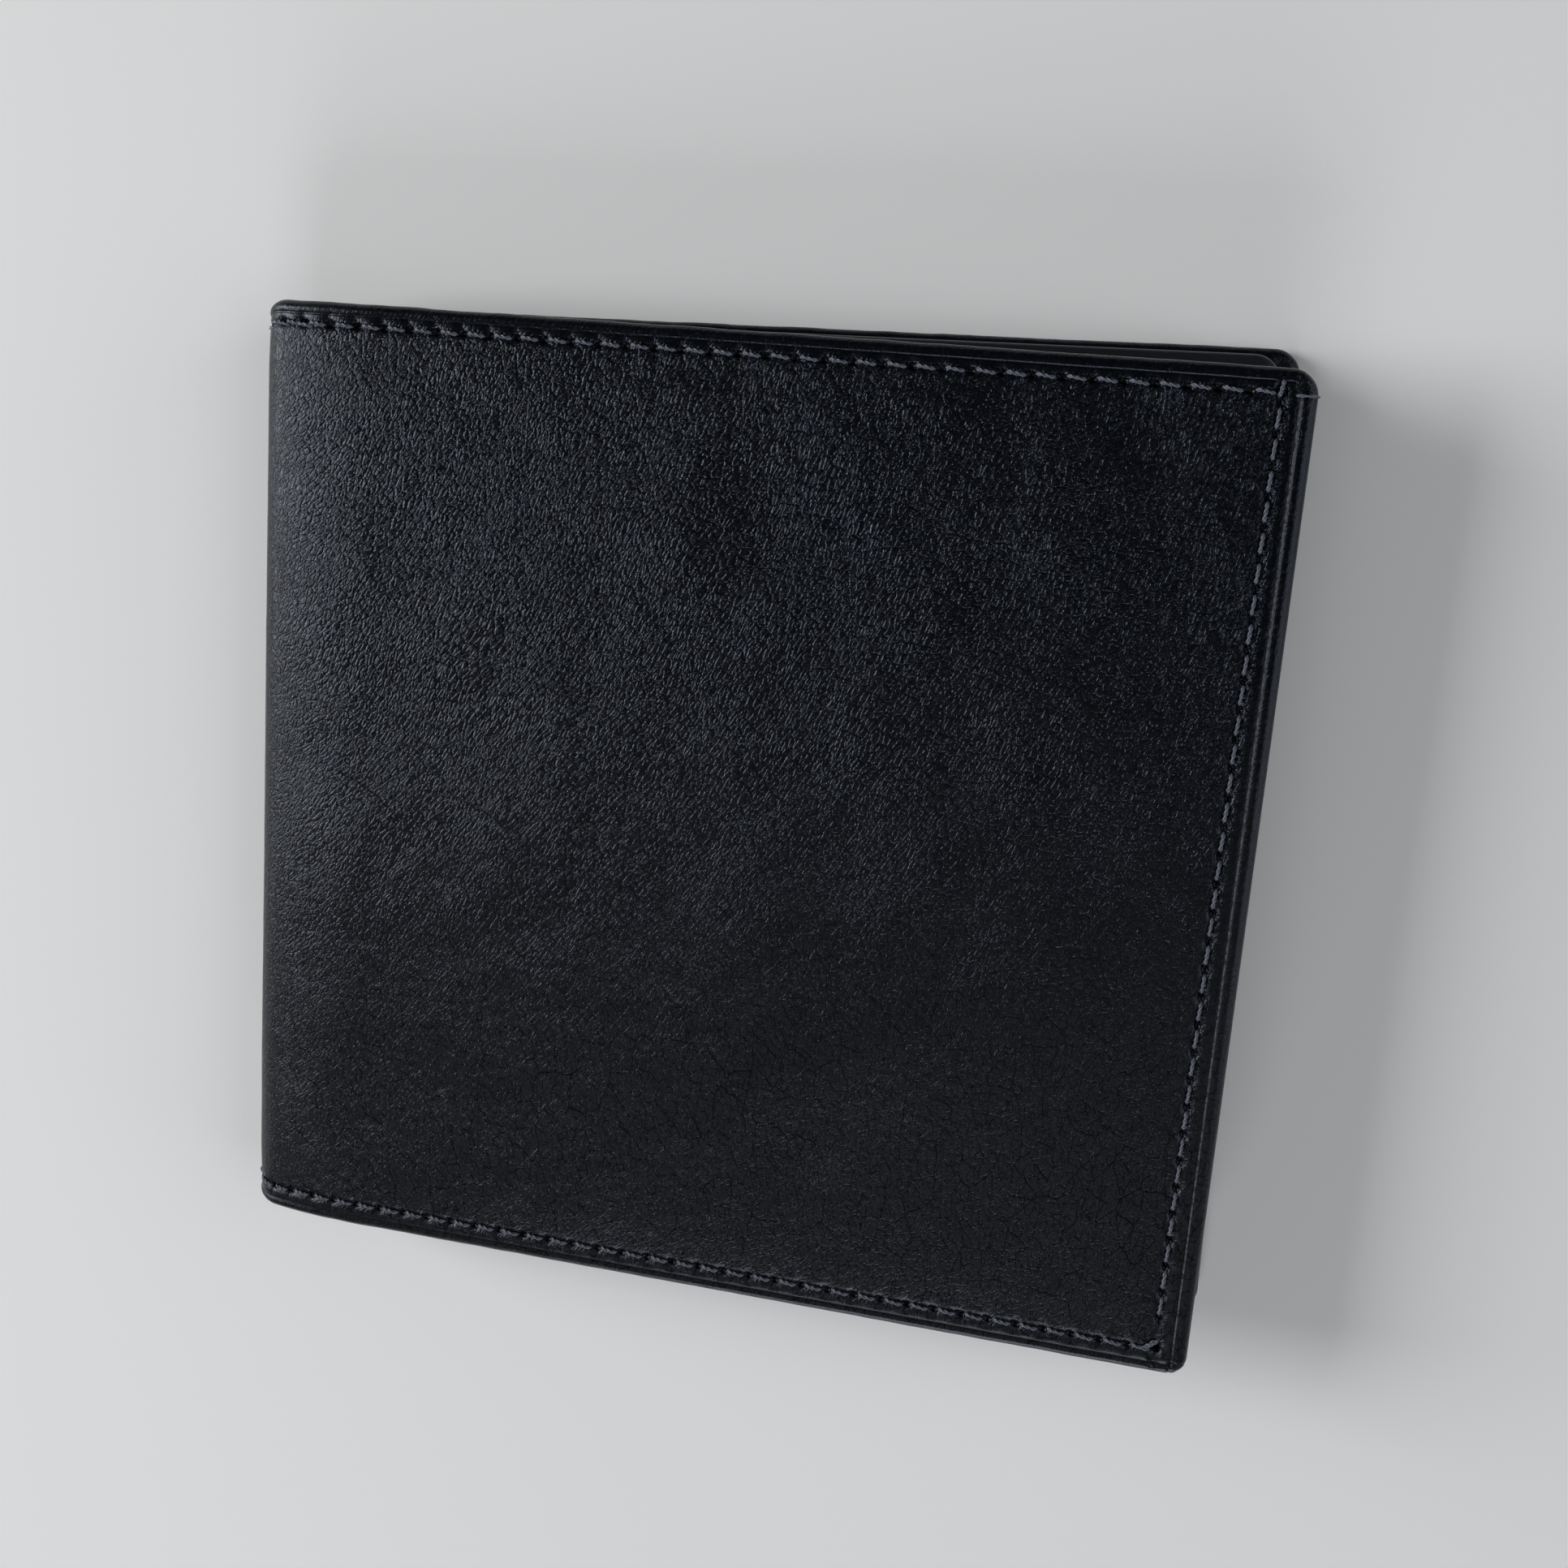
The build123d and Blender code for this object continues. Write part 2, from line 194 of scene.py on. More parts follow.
# Centre leaf, measured from its hinge line
leaf_board = 0.6
leaf_leather = 0.45
leaf_left = 1.95
leaf_right = fold_x + cover_width - 2.2 - hinge_x
leaf_top = half_height - 0.9
leaf_corner = 2.4
leaf_seam = 2.3
leaf_groove_depth = 0.10
leaf_groove_width = 0.45
leaf_wave_height = 0.03
leaf_wave_size = 15.0
leaf_pocket_corners = (1.0, leaf_corner, 1.0, 1.0)
hinge_strip_corner = 0.35
leaf_face = leaf_board / 2 + leaf_leather
hinge_overlap = 5.5
window_lip = 4.7
window_bottom = 9.0
window_corner = 4.0


def smooth(x):
    """Smooth step from 0 to 1."""
    x = np.clip(x, 0, 1)
    return x * x * (3 - 2 * x)


def bell(x, width):
    """Bell curve: 1 at nought, fading over a width."""
    return np.exp(-(x / width) ** 2)


# -------- where things lie

def lay_on_cover(side, u, v, depth):
    """Places (from the fold, up the cover, depth under its outer face), in mm, as points of the closed
    wallet in metres. Past the fold's tangent line u runs round the fold and along the spine."""
    u, v, depth = np.broadcast_arrays(*(np.asarray(value, float) for value in (u, v, depth)))
    front = side == "front"
    turn = -out_of_square if front else out_of_square
    lift = cover_lift if front else 0.0
    full_turn = pi / 2 - lift
    x = u - smooth(u / square_run) * v * sin(turn)
    y = v + np.maximum(u, 0) * sin(turn)
    past = np.maximum(fold_radius - x, 0)
    angle = np.minimum(past / fold_radius, full_turn)
    straight = past - fold_radius * angle
    rounding = np.clip(1 - fold_radius * (1 - np.sin(angle)) / fold_corner, 0, 1) * (past > 0)
    draw_in = fold_draw_in * (1 - np.sqrt(1 - rounding ** 2))
    y = y - np.sign(v) * draw_in * (np.abs(v) / half_height) ** draw_in_power
    on_face = np.clip(1 - (x - fold_radius) / fold_ease_length, 0, 1) ** 2
    part = angle / full_turn
    run_in = 2 * fold_radius * full_turn / fold_ease_length
    on_bend = 2 * part ** 3 - 3 * part ** 2 + 1 + run_in * (part ** 3 - 2 * part ** 2 + part)
    depth = depth + fold_ease * np.where(part > 0, on_bend, on_face)
    flat_x = np.maximum(x - fold_radius, 0) + fold_radius
    flat_x = flat_x - (fold_radius - depth) * np.sin(angle) - straight * np.cos(angle)
    z = fold_radius - (fold_radius - depth) * np.cos(angle) + straight * np.sin(angle)
    if front:
        closing = fold_radius * (cos(lift) + sin(lift) - 1)
        x = flat_x * cos(lift) + z * sin(lift) - closing * angle / full_turn
        z = spine_depth + flat_x * sin(lift) - z * cos(lift)
    else:
        x = flat_x
    return np.stack([x + fold_x, y, z], axis=-1) * MM


def lay_on_leaf(x, y, level):
    """Places on the flat leaf (from its hinge line, up, above its board's middle), in mm, as points of
    the closed wallet in metres."""
    rise = cover_lift / 2
    turned_x = x * cos(out_of_square) - y * sin(out_of_square)
    turned_y = x * sin(out_of_square) + y * cos(out_of_square)
    across = hinge_x + turned_x * cos(rise) - level * sin(rise)
    up = hinge_z + turned_x * sin(rise) + level * cos(rise)
    return np.stack([across, turned_y, up], axis=-1) * MM


def at_level(level, inwards):
    """Lays a sheet with its showing face at a level of the leaf."""
    return lambda u, v, depth: lay_on_leaf(u, v, level + inwards * depth)


def spine_end(side):
    """Value of u halfway round the spine."""
    lift = cover_lift if side == "front" else 0.0
    rise = spine_depth / 2 - fold_radius * (cos(lift) - sin(lift))
    return fold_radius - fold_radius * (pi / 2 - lift) - rise


def seam_places(start, end):
    """Middles of the stitches between two ends of a seam."""
    count = int((end - start) / stitch_pitch + 1e-6)
    slack = (end - start) - count * stitch_pitch
    return start + slack + (np.arange(count) + 0.5) * stitch_pitch


def long_places():
    """Middles of the stitches along a cover's top or bottom."""
    return seam_places(fold_radius + seam_start, side_seam_u)


def side_places():
    """Middles of the stitches up a cover's free edge."""
    return seam_places(seams_v["bottom"] + corner_gap, seams_v["top"] - corner_gap)


def first_hole(which):
    """Place of the first awl hole along a seam of a cover: top, bottom or side."""
    stitches = side_places() if which == "side" else long_places()
    return float(stitches[0]) - stitch_pitch / 2


# -------- modelling helpers

def start_clean():
    """Nothing selected and nothing in edit mode."""
    if bpy.context.object and bpy.context.object.mode != "OBJECT":
        bpy.ops.object.mode_set(mode="OBJECT")
    bpy.ops.object.select_all(action="DESELECT")


def select_only(piece):
    """Selects one piece and nothing else, ready for an operation on it."""
    start_clean()
    piece.select_set(True)
    bpy.context.view_layer.objects.active = piece


def add_object(name, data):
    """A new object in the scene."""
    item = bpy.data.objects.new(name, data)
    bpy.context.collection.objects.link(item)
    return item


def finish_piece(piece, name, material, body=None):
    """Names a piece, smooths it, gives it its finish and lets it ride on its body."""
    piece.name = name
    piece.data.name = name
    piece.data.materials.clear()
    piece.data.materials.append(material)
    select_only(piece)
    bpy.ops.object.shade_smooth()
    if body:
        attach(piece, body)


def finish_node(node, material):
    """Puts a finish on a solid of the frame that shows as it is."""
    piece = bpy.data.objects[node]
    for slot in piece.material_slots:
        slot.link = "OBJECT"
        slot.material = material


def apply_modifier(piece, kind, **settings):
    """Adds a modifier to a piece and applies it."""
    select_only(piece)
    modifier = piece.modifiers.new(kind.title(), kind)
    for key, value in settings.items():
        setattr(modifier, key, value)
    bpy.ops.object.modifier_apply(modifier=modifier.name)


def ruled_grid(u_lines, v_lines):
    """A grid with its columns and rows on the given lines; returns it with u and v of each vertex."""
    start_clean()
    columns, rows = len(u_lines) - 1, len(v_lines) - 1
    bpy.ops.mesh.primitive_grid_add(x_subdivisions=columns, y_subdivisions=rows, size=2)
    piece = bpy.context.object
    co = np.empty(len(piece.data.vertices) * 3)
    piece.data.vertices.foreach_get("co", co)
    co = co.reshape(-1, 3)
    column = np.rint((co[:, 0] + 1) / 2 * columns).astype(int)
    row = np.rint((co[:, 1] + 1) / 2 * rows).astype(int)
    return piece, np.asarray(u_lines)[column], np.asarray(v_lines)[row]


def map_surface(piece, u, v):
    """Keeps each vertex's place on the cut leather as the UV map "cut", in units of 100 mm."""
    layer = piece.data.uv_layers[0]
    layer.name = "cut"
    loops = np.empty(len(piece.data.loops), int)
    piece.data.loops.foreach_get("vertex_index", loops)
    pairs = np.stack([u[loops], v[loops]], axis=-1) / map_unit
    layer.data.foreach_set("uv", pairs.astype(np.float32).ravel())


def close_seams(piece):
    """Joins the points that meet, and turns the faces outwards."""
    select_only(piece)
    bpy.ops.object.mode_set(mode="EDIT")
    bpy.ops.mesh.select_all(action="SELECT")
    bpy.ops.mesh.remove_doubles(threshold=0.02 * MM)
    bpy.ops.mesh.normals_make_consistent(inside=False)
    bpy.ops.object.mode_set(mode="OBJECT")


def shape_sheet(piece, points, u, v, name, material, body=None):
    """Gives a grid its points and its map, closes it and finishes it."""
    piece.data.vertices.foreach_set("co", np.ascontiguousarray(points, dtype=np.float32).ravel())
    piece.data.update()
    map_surface(piece, u, v)
    close_seams(piece)
    finish_piece(piece, name, material, body)


def blend_over_fold(piece, side):
    """Bakes a piece's placing into its mesh."""
    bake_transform(piece)


# -------- the covers' outer leather

def lines_between(start, end, step):
    """Evenly spaced lines from start to end, without the end."""
    count = max(int(round((end - start) / step)), 1)
    return list(np.linspace(start, end, count, endpoint=False))


by_hole = (-0.62, -0.36, -0.12, 0.12, 0.36, 0.62, stitch_pitch / 2)  # lines about an awl hole
fine_step = 0.2
seam_band = 1.2  # beside a seam the lines are close together
roll = edge_thickness / 2  # the turned edge is half a round
far_away = 10 * cover_width  # where a sheet's edge lies that isn't turned
roll_length = pi * roll
edge_flat = (lower_corner + upper_corner) / 2 - roll  # from a corner's centre to the roll
# Rows along the underside: the hem, its step down to the board, and on to the middle
under_rows = (0.5, 2.5, hem_width - roll - 0.02, hem_width - roll, hem_width + 12, half_height + roll)


def lines_past_edge(edge):
    """Lines over a turned edge and back along its underside, measured from the corner's centre."""
    start = edge - roll
    found = [start + roll_length * i / 10 for i in range(11)]
    return found + [start + roll_length + row for row in under_rows]


def lines_by_holes(start, end, hole):
    """Lines from start to end, without the end, close together at each awl hole of a seam."""
    first = hole + stitch_pitch * np.floor((start - hole) / stitch_pitch)
    count = int((end - start) / stitch_pitch) + 2
    places = [first + stitch_pitch * i + offset for i in range(count) for offset in by_hole]
    return [start] + [place for place in places if start + 0.15 < place < end - 0.1]


def cover_lines(side):
    """Columns and rows of the sheet that a cover's leather is made from."""
    u_lines = lines_by_holes(spine_end(side), side_seam_u - seam_band, first_hole("top"))
    u_lines += lines_between(side_seam_u - seam_band, cover_width - roll, fine_step)
    u_lines += lines_past_edge(cover_width)
    low, high = seams_v["bottom"], seams_v["top"]
    v_lines = [-line for line in lines_past_edge(half_height)][::-1]
    v_lines += lines_between(roll - half_height, low + seam_band, fine_step)[1:]
    v_lines += lines_by_holes(low + seam_band, high - seam_band, first_hole("side"))
    v_lines += lines_between(high - seam_band, half_height - roll, fine_step)
    v_lines += lines_past_edge(half_height)
    return u_lines, v_lines


def roll_over(u, v, edges, radii, roll, height=0.0):
    """Rolls a sheet over its edges (left, right, bottom, top) with rounded corners (lower left, lower
    right, upper left, upper right); height stands proud of the plain form. Returns u, v, the depth under
    the showing face, how far past the corner's centre a point began, and its run along the underside."""
    left, right, bottom, top = edges
    on_right = u > (left + right) / 2
    on_top = v > (bottom + top) / 2
    corners = [~on_top & ~on_right, ~on_top & on_right, on_top & ~on_right]
    radius = np.select(corners, radii[:3], radii[3])
    sign_u = np.where(on_right, 1, -1)
    sign_v = np.where(on_top, 1, -1)
    core_u = np.where(on_right, right - radius, left + radius)
    core_v = np.where(on_top, top - radius, bottom + radius)
    over_u = np.maximum((u - core_u) * sign_u, 0)
    over_v = np.maximum((v - core_v) * sign_v, 0)
    reach = np.maximum(over_u, over_v)
    angle = pi / 4 * np.minimum(over_u, over_v) / np.maximum(reach, 1e-9)
    steep = over_v > over_u
    toward_u = np.where(steep, np.sin(angle), np.cos(angle)) * sign_u * (over_u > 0)
    toward_v = np.where(steep, np.cos(angle), np.sin(angle)) * sign_v * (over_v > 0)
    flat = radius - roll
    bent = np.clip((reach - flat) / roll, 0, pi)
    beneath = np.maximum(reach - flat - pi * roll, 0)
    out = np.where(reach < flat, reach, flat + (roll + height) * np.sin(bent)) - beneath
    depth = roll - (roll + height) * np.cos(bent)
    inward = np.minimum(out, 0)
    new_u = np.where(on_right, np.minimum(u, core_u + inward), np.maximum(u, core_u - inward))
    new_v = np.where(on_top, np.minimum(v, core_v + inward), np.maximum(v, core_v - inward))
    new_v = np.where(on_top, np.maximum(new_v, 0), np.minimum(new_v, 0)) if top == -bottom else new_v
    outward = np.maximum(out, 0)
    return new_u + outward * toward_u, new_v + outward * toward_v, depth, reach, beneath


def turned_edge(u, v, height=0.0):
    """Rolls a cover's leather over its three free edges, and down to the board under the lining."""
    edges = (-far_away, cover_width, -half_height, half_height)
    corners = (lower_corner, lower_corner, upper_corner, upper_corner)
    new_u, new_v, depth, reach, beneath = roll_over(u, v, edges, corners, roll, height)
    at_floor = beneath > hem_width - roll - 0.01
    return new_u, new_v, np.where(at_floor, hem_floor, depth), reach


def ripple(u, v, size, seed):
    """Smooth random waves over the sheet, about -1 to 1, a given number of mm across."""
    return np.array([noise.noise(Vector((a / size, b / size, seed))) for a, b in zip(u, v)])


def seam_relief(run, across, outward, first, pucker):
    """The leather beside a seam, for places along it and across it: how much of the valley is there, how
    deep it dips and puckers at the awl holes, and how high it swells between them."""
    phase = (run - first) / stitch_pitch
    along = (phase - np.rint(phase)) * stitch_pitch
    leaning = along + hole_slant * across
    dip = dip_depth * np.exp(-(leaning / dip_length) ** 4 - (across / dip_width) ** 2)
    fanned = along + pucker_lean * outward
    dip += pucker * bell(outward - beside_seam, pucker_reach) * bell(fanned, pucker_width)
    between = bell(np.abs(across) - beside_seam, swelling_width) * np.cos(2 * pi * (phase - 0.5))
    return bell(across, valley_width), dip, swelling * between


def surface_relief(side, u, v):
    """Height of the leather over its plain form, in mm: seams, pressed lines, raised rims and waves."""
    height = np.zeros_like(u)
    before_corner = smooth((side_seam_u + long_seam_past - u) / long_seam_fade)
    for which, line in seams_v.items():
        across = v - line
        outward = across * np.sign(line)
        valley, dip, rise = seam_relief(u, across, outward, first_hole(which), long_pucker)
        valley_reach = before_corner if which == "bottom" else 1.0
        height += rise - valley_depth[side] * valley * valley_reach - dip * before_corner
    across = u - side_seam_u
    valley, dip, rise = seam_relief(v, across, across, first_hole("side"), side_pucker)
    before_ends = smooth((half_height - side_seam_stop - np.abs(v)) / side_seam_stop)
    height += (rise - valley_depth[side] * valley - dip) * before_ends
    from_end = half_height - np.abs(v)
    end_line = from_end - edge_crease
    side_line = u - cover_width + side_crease
    height -= end_crease_depth * bell(end_line, end_crease_width)
    height -= side_crease_depth * bell(side_line, side_crease_width)
    height += rim_height * (bell(end_line + end_rim, rim_width) + bell(side_line - side_rim, rim_width))
    face = smooth((from_end - face_start) / face_fade) * smooth((side_seam_u - u) / face_fade)
    seed = wave_seed[side]
    waves = wave_height * ripple(u, v, wave_size, seed)
    waves += small_wave_height * ripple(u, v, short_wave_size, seed + 3)
    fine = small_wave_height * ripple(u, v, shortest_wave_size, seed + 9)
    height += (face_height + waves) * face + fine
    return height if side == "front" else np.minimum(height, 0) - back_sunk


def cover_leather(side, material):
    """The outer leather of a cover: one sheet, turned over three edges and bent round half the spine."""
    piece, u, v = ruled_grid(*cover_lines(side))
    reach = turned_edge(u, v)[3]
    showing = 1 - smooth((reach - edge_flat) / (roll_length * 0.5))
    near_middle = smooth((u - spine_end(side)) / spine_fade)
    relief = surface_relief(side, u, v) * showing * near_middle
    new_u, new_v, depth, reach = turned_edge(u, v, relief)
    edge_wave = sum(rise * ripple(u, v, size, seed) for rise, size, seed in edge_waves)
    edge_wave = edge_wave * np.clip(reach / upper_corner, 0, 1) * near_middle
    new_v = new_v + np.sign(v) * edge_wave * (np.abs(v) > half_height - upper_corner)
    shape_sheet(piece, lay_on_cover(side, new_u, new_v, depth), u, v, f"{side}_cover_skin", material)
    blend_over_fold(piece, side)


# -------- the pieces inside

def lines_over(start, end, radius, step, past):
    """Lines over a sheet that is rolled over both its edges, with runs beneath them."""
    turn = [pi * radius * i / 6 for i in range(7)]
    run = [turn[-1] + row for row in past]
    low = [start + radius - row for row in (turn + run)[::-1]]
    high = [end - radius + row for row in turn + run]
    return low + lines_between(start + radius, end - radius, step)[1:] + high


def rolled_sheet(name, place, edges, radii, thickness, material, relief=None, past=(0.6, 2.0)):
    """A leather sheet with rolled edges. place turns u, v and depth under the showing face into points;
    relief gives the height over the plain form."""
    left, right, bottom, top = edges
    radius, step = thickness / 2, 1.3
    u_lines = lines_over(left, right, radius, step, past)
    v_lines = lines_over(bottom, top, radius, step, past)
    piece, u, v = ruled_grid(u_lines, v_lines)
    reach = roll_over(u, v, edges, radii, radius)[3]
    height = np.zeros_like(u)
    if relief:
        corner = np.array(radii).max()
        height = relief(u, v) * (1 - smooth((reach - corner + radius) / (2 * radius)))
    new_u, new_v, depth, _, _ = roll_over(u, v, edges, radii, radius, height)
    shape_sheet(piece, place(new_u, new_v, depth), u, v, name, material)
    return piece


def slot_relief(edges, seed):
    """Soft waves and the line pressed into the leather under a pocket's mouth."""
    def relief(u, v):
        below = edges[3] - v
        line = -mouth_line_depth * bell(below - mouth_line, mouth_line_width)
        lip = mouth_lip_height * bell(below - mouth_lip, mouth_lip_width)
        return line + lip + pocket_wave_height * ripple(u, v, pocket_wave_size, seed)
    return relief


def bent_sheet(side, name, free_edge, half_length, face, thickness, material):
    """A sheet inside a cover, round the fold to the middle of the spine; face is its inner depth."""
    radius, step, past = thickness / 2, 1.5, (0.4,)
    edges = (-far_away, free_edge, -half_length, half_length)
    bend = [u for u in lines_between(spine_end(side), fold_radius + 2, 0.5) if u < free_edge - 1]
    flat = [u for u in lines_over(-10, free_edge, radius, step, past) if u > bend[-1] + 0.2]
    piece, u, v = ruled_grid(bend + flat, lines_over(-half_length, half_length, radius, step, past))
    new_u, new_v, depth, _, _ = roll_over(u, v, edges, (0.5,) * 4, radius)
    shape_sheet(piece, lay_on_cover(side, new_u, new_v, face - depth), u, v, f"{side}_{name}", material)
    blend_over_fold(piece, side)
    return piece


def cover_layers(side, leather, cloth, board):
    """Board, lining and hinge tape of one cover, each with its half of the spine."""
    spine_too = side == "back"
    edge, half = cover_width - board_inset, half_height - board_inset
    sheet = bent_sheet(side, "board", edge, half, board_face, board_thickness, board)
    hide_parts(*([f"{side}_reinforcement"] + ["spine_reinforcement"] * spine_too))
    edge, half = cover_width - hem_width, half_height - hem_width
    sheet = bent_sheet(side, "lining", edge, half, lining_face, lining_thickness, cloth)
    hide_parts(*([f"{side}_note_lining"] + ["spine_lining"] * spine_too))
    edge, face = spine_end(side) + tape_width / 2, lining_face + tape_thickness
    sheet = bent_sheet(side, "spine_tape", edge, half, face, tape_thickness, leather)
    if spine_too:
        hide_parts("spine_hinge_tape")


def inner_panel(side, leather):
    """The inner panel of one cover, on its turned ledge and open at the top."""
    body = f"{side}_cover"
    edges = (panel_left, panel_right, panel_bottom, panel_top)
    ledge = panel_face - edge_thickness

    def on_ledge(u, v, depth):
        open_top = smooth((v - panel_top + panel_thinning) / panel_thins_over)
        thick = ledge * (1 - open_top) + panel_leather * open_top
        return lay_on_cover(side, u, v, panel_face - depth * thick / ledge)

    def panel_relief(u, v):
        away_from_pockets = smooth((pocket_left - u) / 1.5) + smooth((v - highest_slot - 2) / 3)
        groove = -panel_groove_depth * bell(u - side_seam_u, panel_groove_width)
        waves = panel_wave_height * ripple(u, v, panel_wave_size, 2.2)
        return groove + waves * np.minimum(away_from_pockets, 1)

    piece = rolled_sheet(f"{side}_panel", on_ledge, edges, panel_corners, ledge, leather,
                         panel_relief, past=panel_ledge_rows)
    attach(piece, body)
    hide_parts(f"{side}_inner_panel")


def card_pockets(side, leather):
    """The stepped card pockets of one cover, from the highest slot down."""
    body = f"{side}_cover"
    for index in range(pocket_count):
        inset = (index + 1) * pocket_inset
        mouth = highest_slot - index * pocket_step
        edges = (pocket_left + index * pocket_inset, panel_right - inset, panel_bottom + inset, mouth)
        face = panel_face + (index + 1) * pocket_leather

        def on_pocket(u, v, depth):
            return lay_on_cover(side, u, v, face - depth)

        piece = rolled_sheet(f"{side}_pocket_{index + 1}", on_pocket, edges, pocket_corners,
                             pocket_leather, leather, slot_relief(edges, index + 0.4))
        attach(piece, body)
        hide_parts(f"{side}_card_pocket_{index + 1}")


def rounded_ring(edges, radius, offset):
    """Points round a rectangle with rounded corners, drawn out or in by an offset."""
    left, right, bottom, top = edges
    radius = max(radius + offset, 0.05)
    left, right, bottom, top = left - offset, right + offset, bottom - offset, top + offset
    centres = ((right - radius, top - radius), (left + radius, top - radius),
               (left + radius, bottom + radius), (right - radius, bottom + radius))
    corners = []
    for quarter, (x, y) in enumerate(centres):
        angles = [pi / 2 * (quarter + i / 8) for i in range(9)]
        corners.append([(x + radius * cos(angle), y + radius * sin(angle)) for angle in angles])
    points = []
    for index, corner in enumerate(corners):
        following = corners[(index + 1) % 4][0]
        side = np.linspace(corner[-1], following, 41 if index % 2 else 61)[1:-1]
        points += corner + [tuple(p) for p in side]
    return np.array(points + points[:1])


def framed_sheet(name, place, edges, radius, opening, opening_radius, thickness, edge_depth, material):
    """A leather sheet with a rounded opening, rolled round it and over its outer edges to a depth."""
    turn = [pi * i / 6 for i in range(7)]
    under_opening, under_edge, steps = 1.6, 2.0, 24
    rows = [(rounded_ring(opening, opening_radius, under_opening), thickness)]
    bend = thickness / 2
    for angle in turn[::-1]:
        ring = rounded_ring(opening, opening_radius, bend * (1 - sin(angle)))
        rows.append((ring, bend * (1 - cos(angle))))
    inner = rounded_ring(opening, opening_radius, bend)
    bend = edge_depth / 2
    outer = rounded_ring(edges, radius, -bend)
    rows += [(inner + (outer - inner) * i / steps, 0.0) for i in range(1, steps)]
    for angle in turn:
        rows.append((rounded_ring(edges, radius, bend * (sin(angle) - 1)), bend * (1 - cos(angle))))
    rows.append((rounded_ring(edges, radius, -under_edge), edge_depth))
    piece, row, column = ruled_grid(range(len(rows)), range(len(inner)))
    flat = np.array([ring for ring, _ in rows])[row.astype(int), column.astype(int)]
    depth = np.array([level for _, level in rows])[row.astype(int)]
    u, v = flat.T
    inside = np.minimum(np.minimum(u - edges[0], edges[1] - u), np.minimum(v - edges[2], edges[3] - v))
    groove = leaf_groove_depth * bell(inside - leaf_seam, leaf_groove_width) * (depth < 0.01)
    shape_sheet(piece, place(u, v, depth + groove), u, v, name, material, "centre_leaf")
    return piece


def leaf_waves(u, v):
    """Soft waves of the leaf's back."""
    return leaf_wave_height * ripple(u, v, leaf_wave_size, 4.4)


def leaf_leathers(leather):
    """The leaf's leather: front panel with its card window, back panel, pocket and hinge strip."""
    edges = (leaf_left, leaf_right, -leaf_top, leaf_top)
    middle = (leaf_left + hinge_overlap + leaf_right) / 2
    half_window = card_length / 2 - window_lip
    low = window_bottom - leaf_top
    opening = (middle - half_window, middle + half_window, low, low + card_height - 2 * window_lip)
    front = framed_sheet("leaf_front_leather", at_level(leaf_face, -1), edges, leaf_corner, opening,
                         window_corner, leaf_leather, leaf_leather + leaf_board, leather)
    back = rolled_sheet("leaf_back_leather", at_level(-leaf_face, 1), edges, (leaf_corner,) * 4,
                        leaf_leather, leather, leaf_waves)
    pocket_edges = (leaf_left + leaf_seam, leaf_right - pocket_inset, pocket_inset - leaf_top,
                    leaf_seam + card_height - card_show - leaf_top)
    pocket = rolled_sheet("leaf_pocket", at_level(-leaf_face - pocket_leather, 1), pocket_edges,
                          leaf_pocket_corners, pocket_leather, leather,
                          slot_relief(pocket_edges, 6.6))
    half_strip = half_height - hem_width
    strip_edges = (-leaf_board / 2, leaf_left + hinge_overlap, -half_strip, half_strip)
    strip = rolled_sheet("leaf_hinge", at_level(leaf_board / 2, -1), strip_edges,
                         (hinge_strip_corner,) * 4, leaf_board, leather)
    made = ((front, "leaf_front_panel"), (back, "leaf_back_panel"), (pocket, "leaf_card_pocket"),
            (strip, "leaf_hinge_strip"))
    for piece, node in made:
        if piece is not front:
            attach(piece, "centre_leaf")
        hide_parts(node)


# -------- finishes

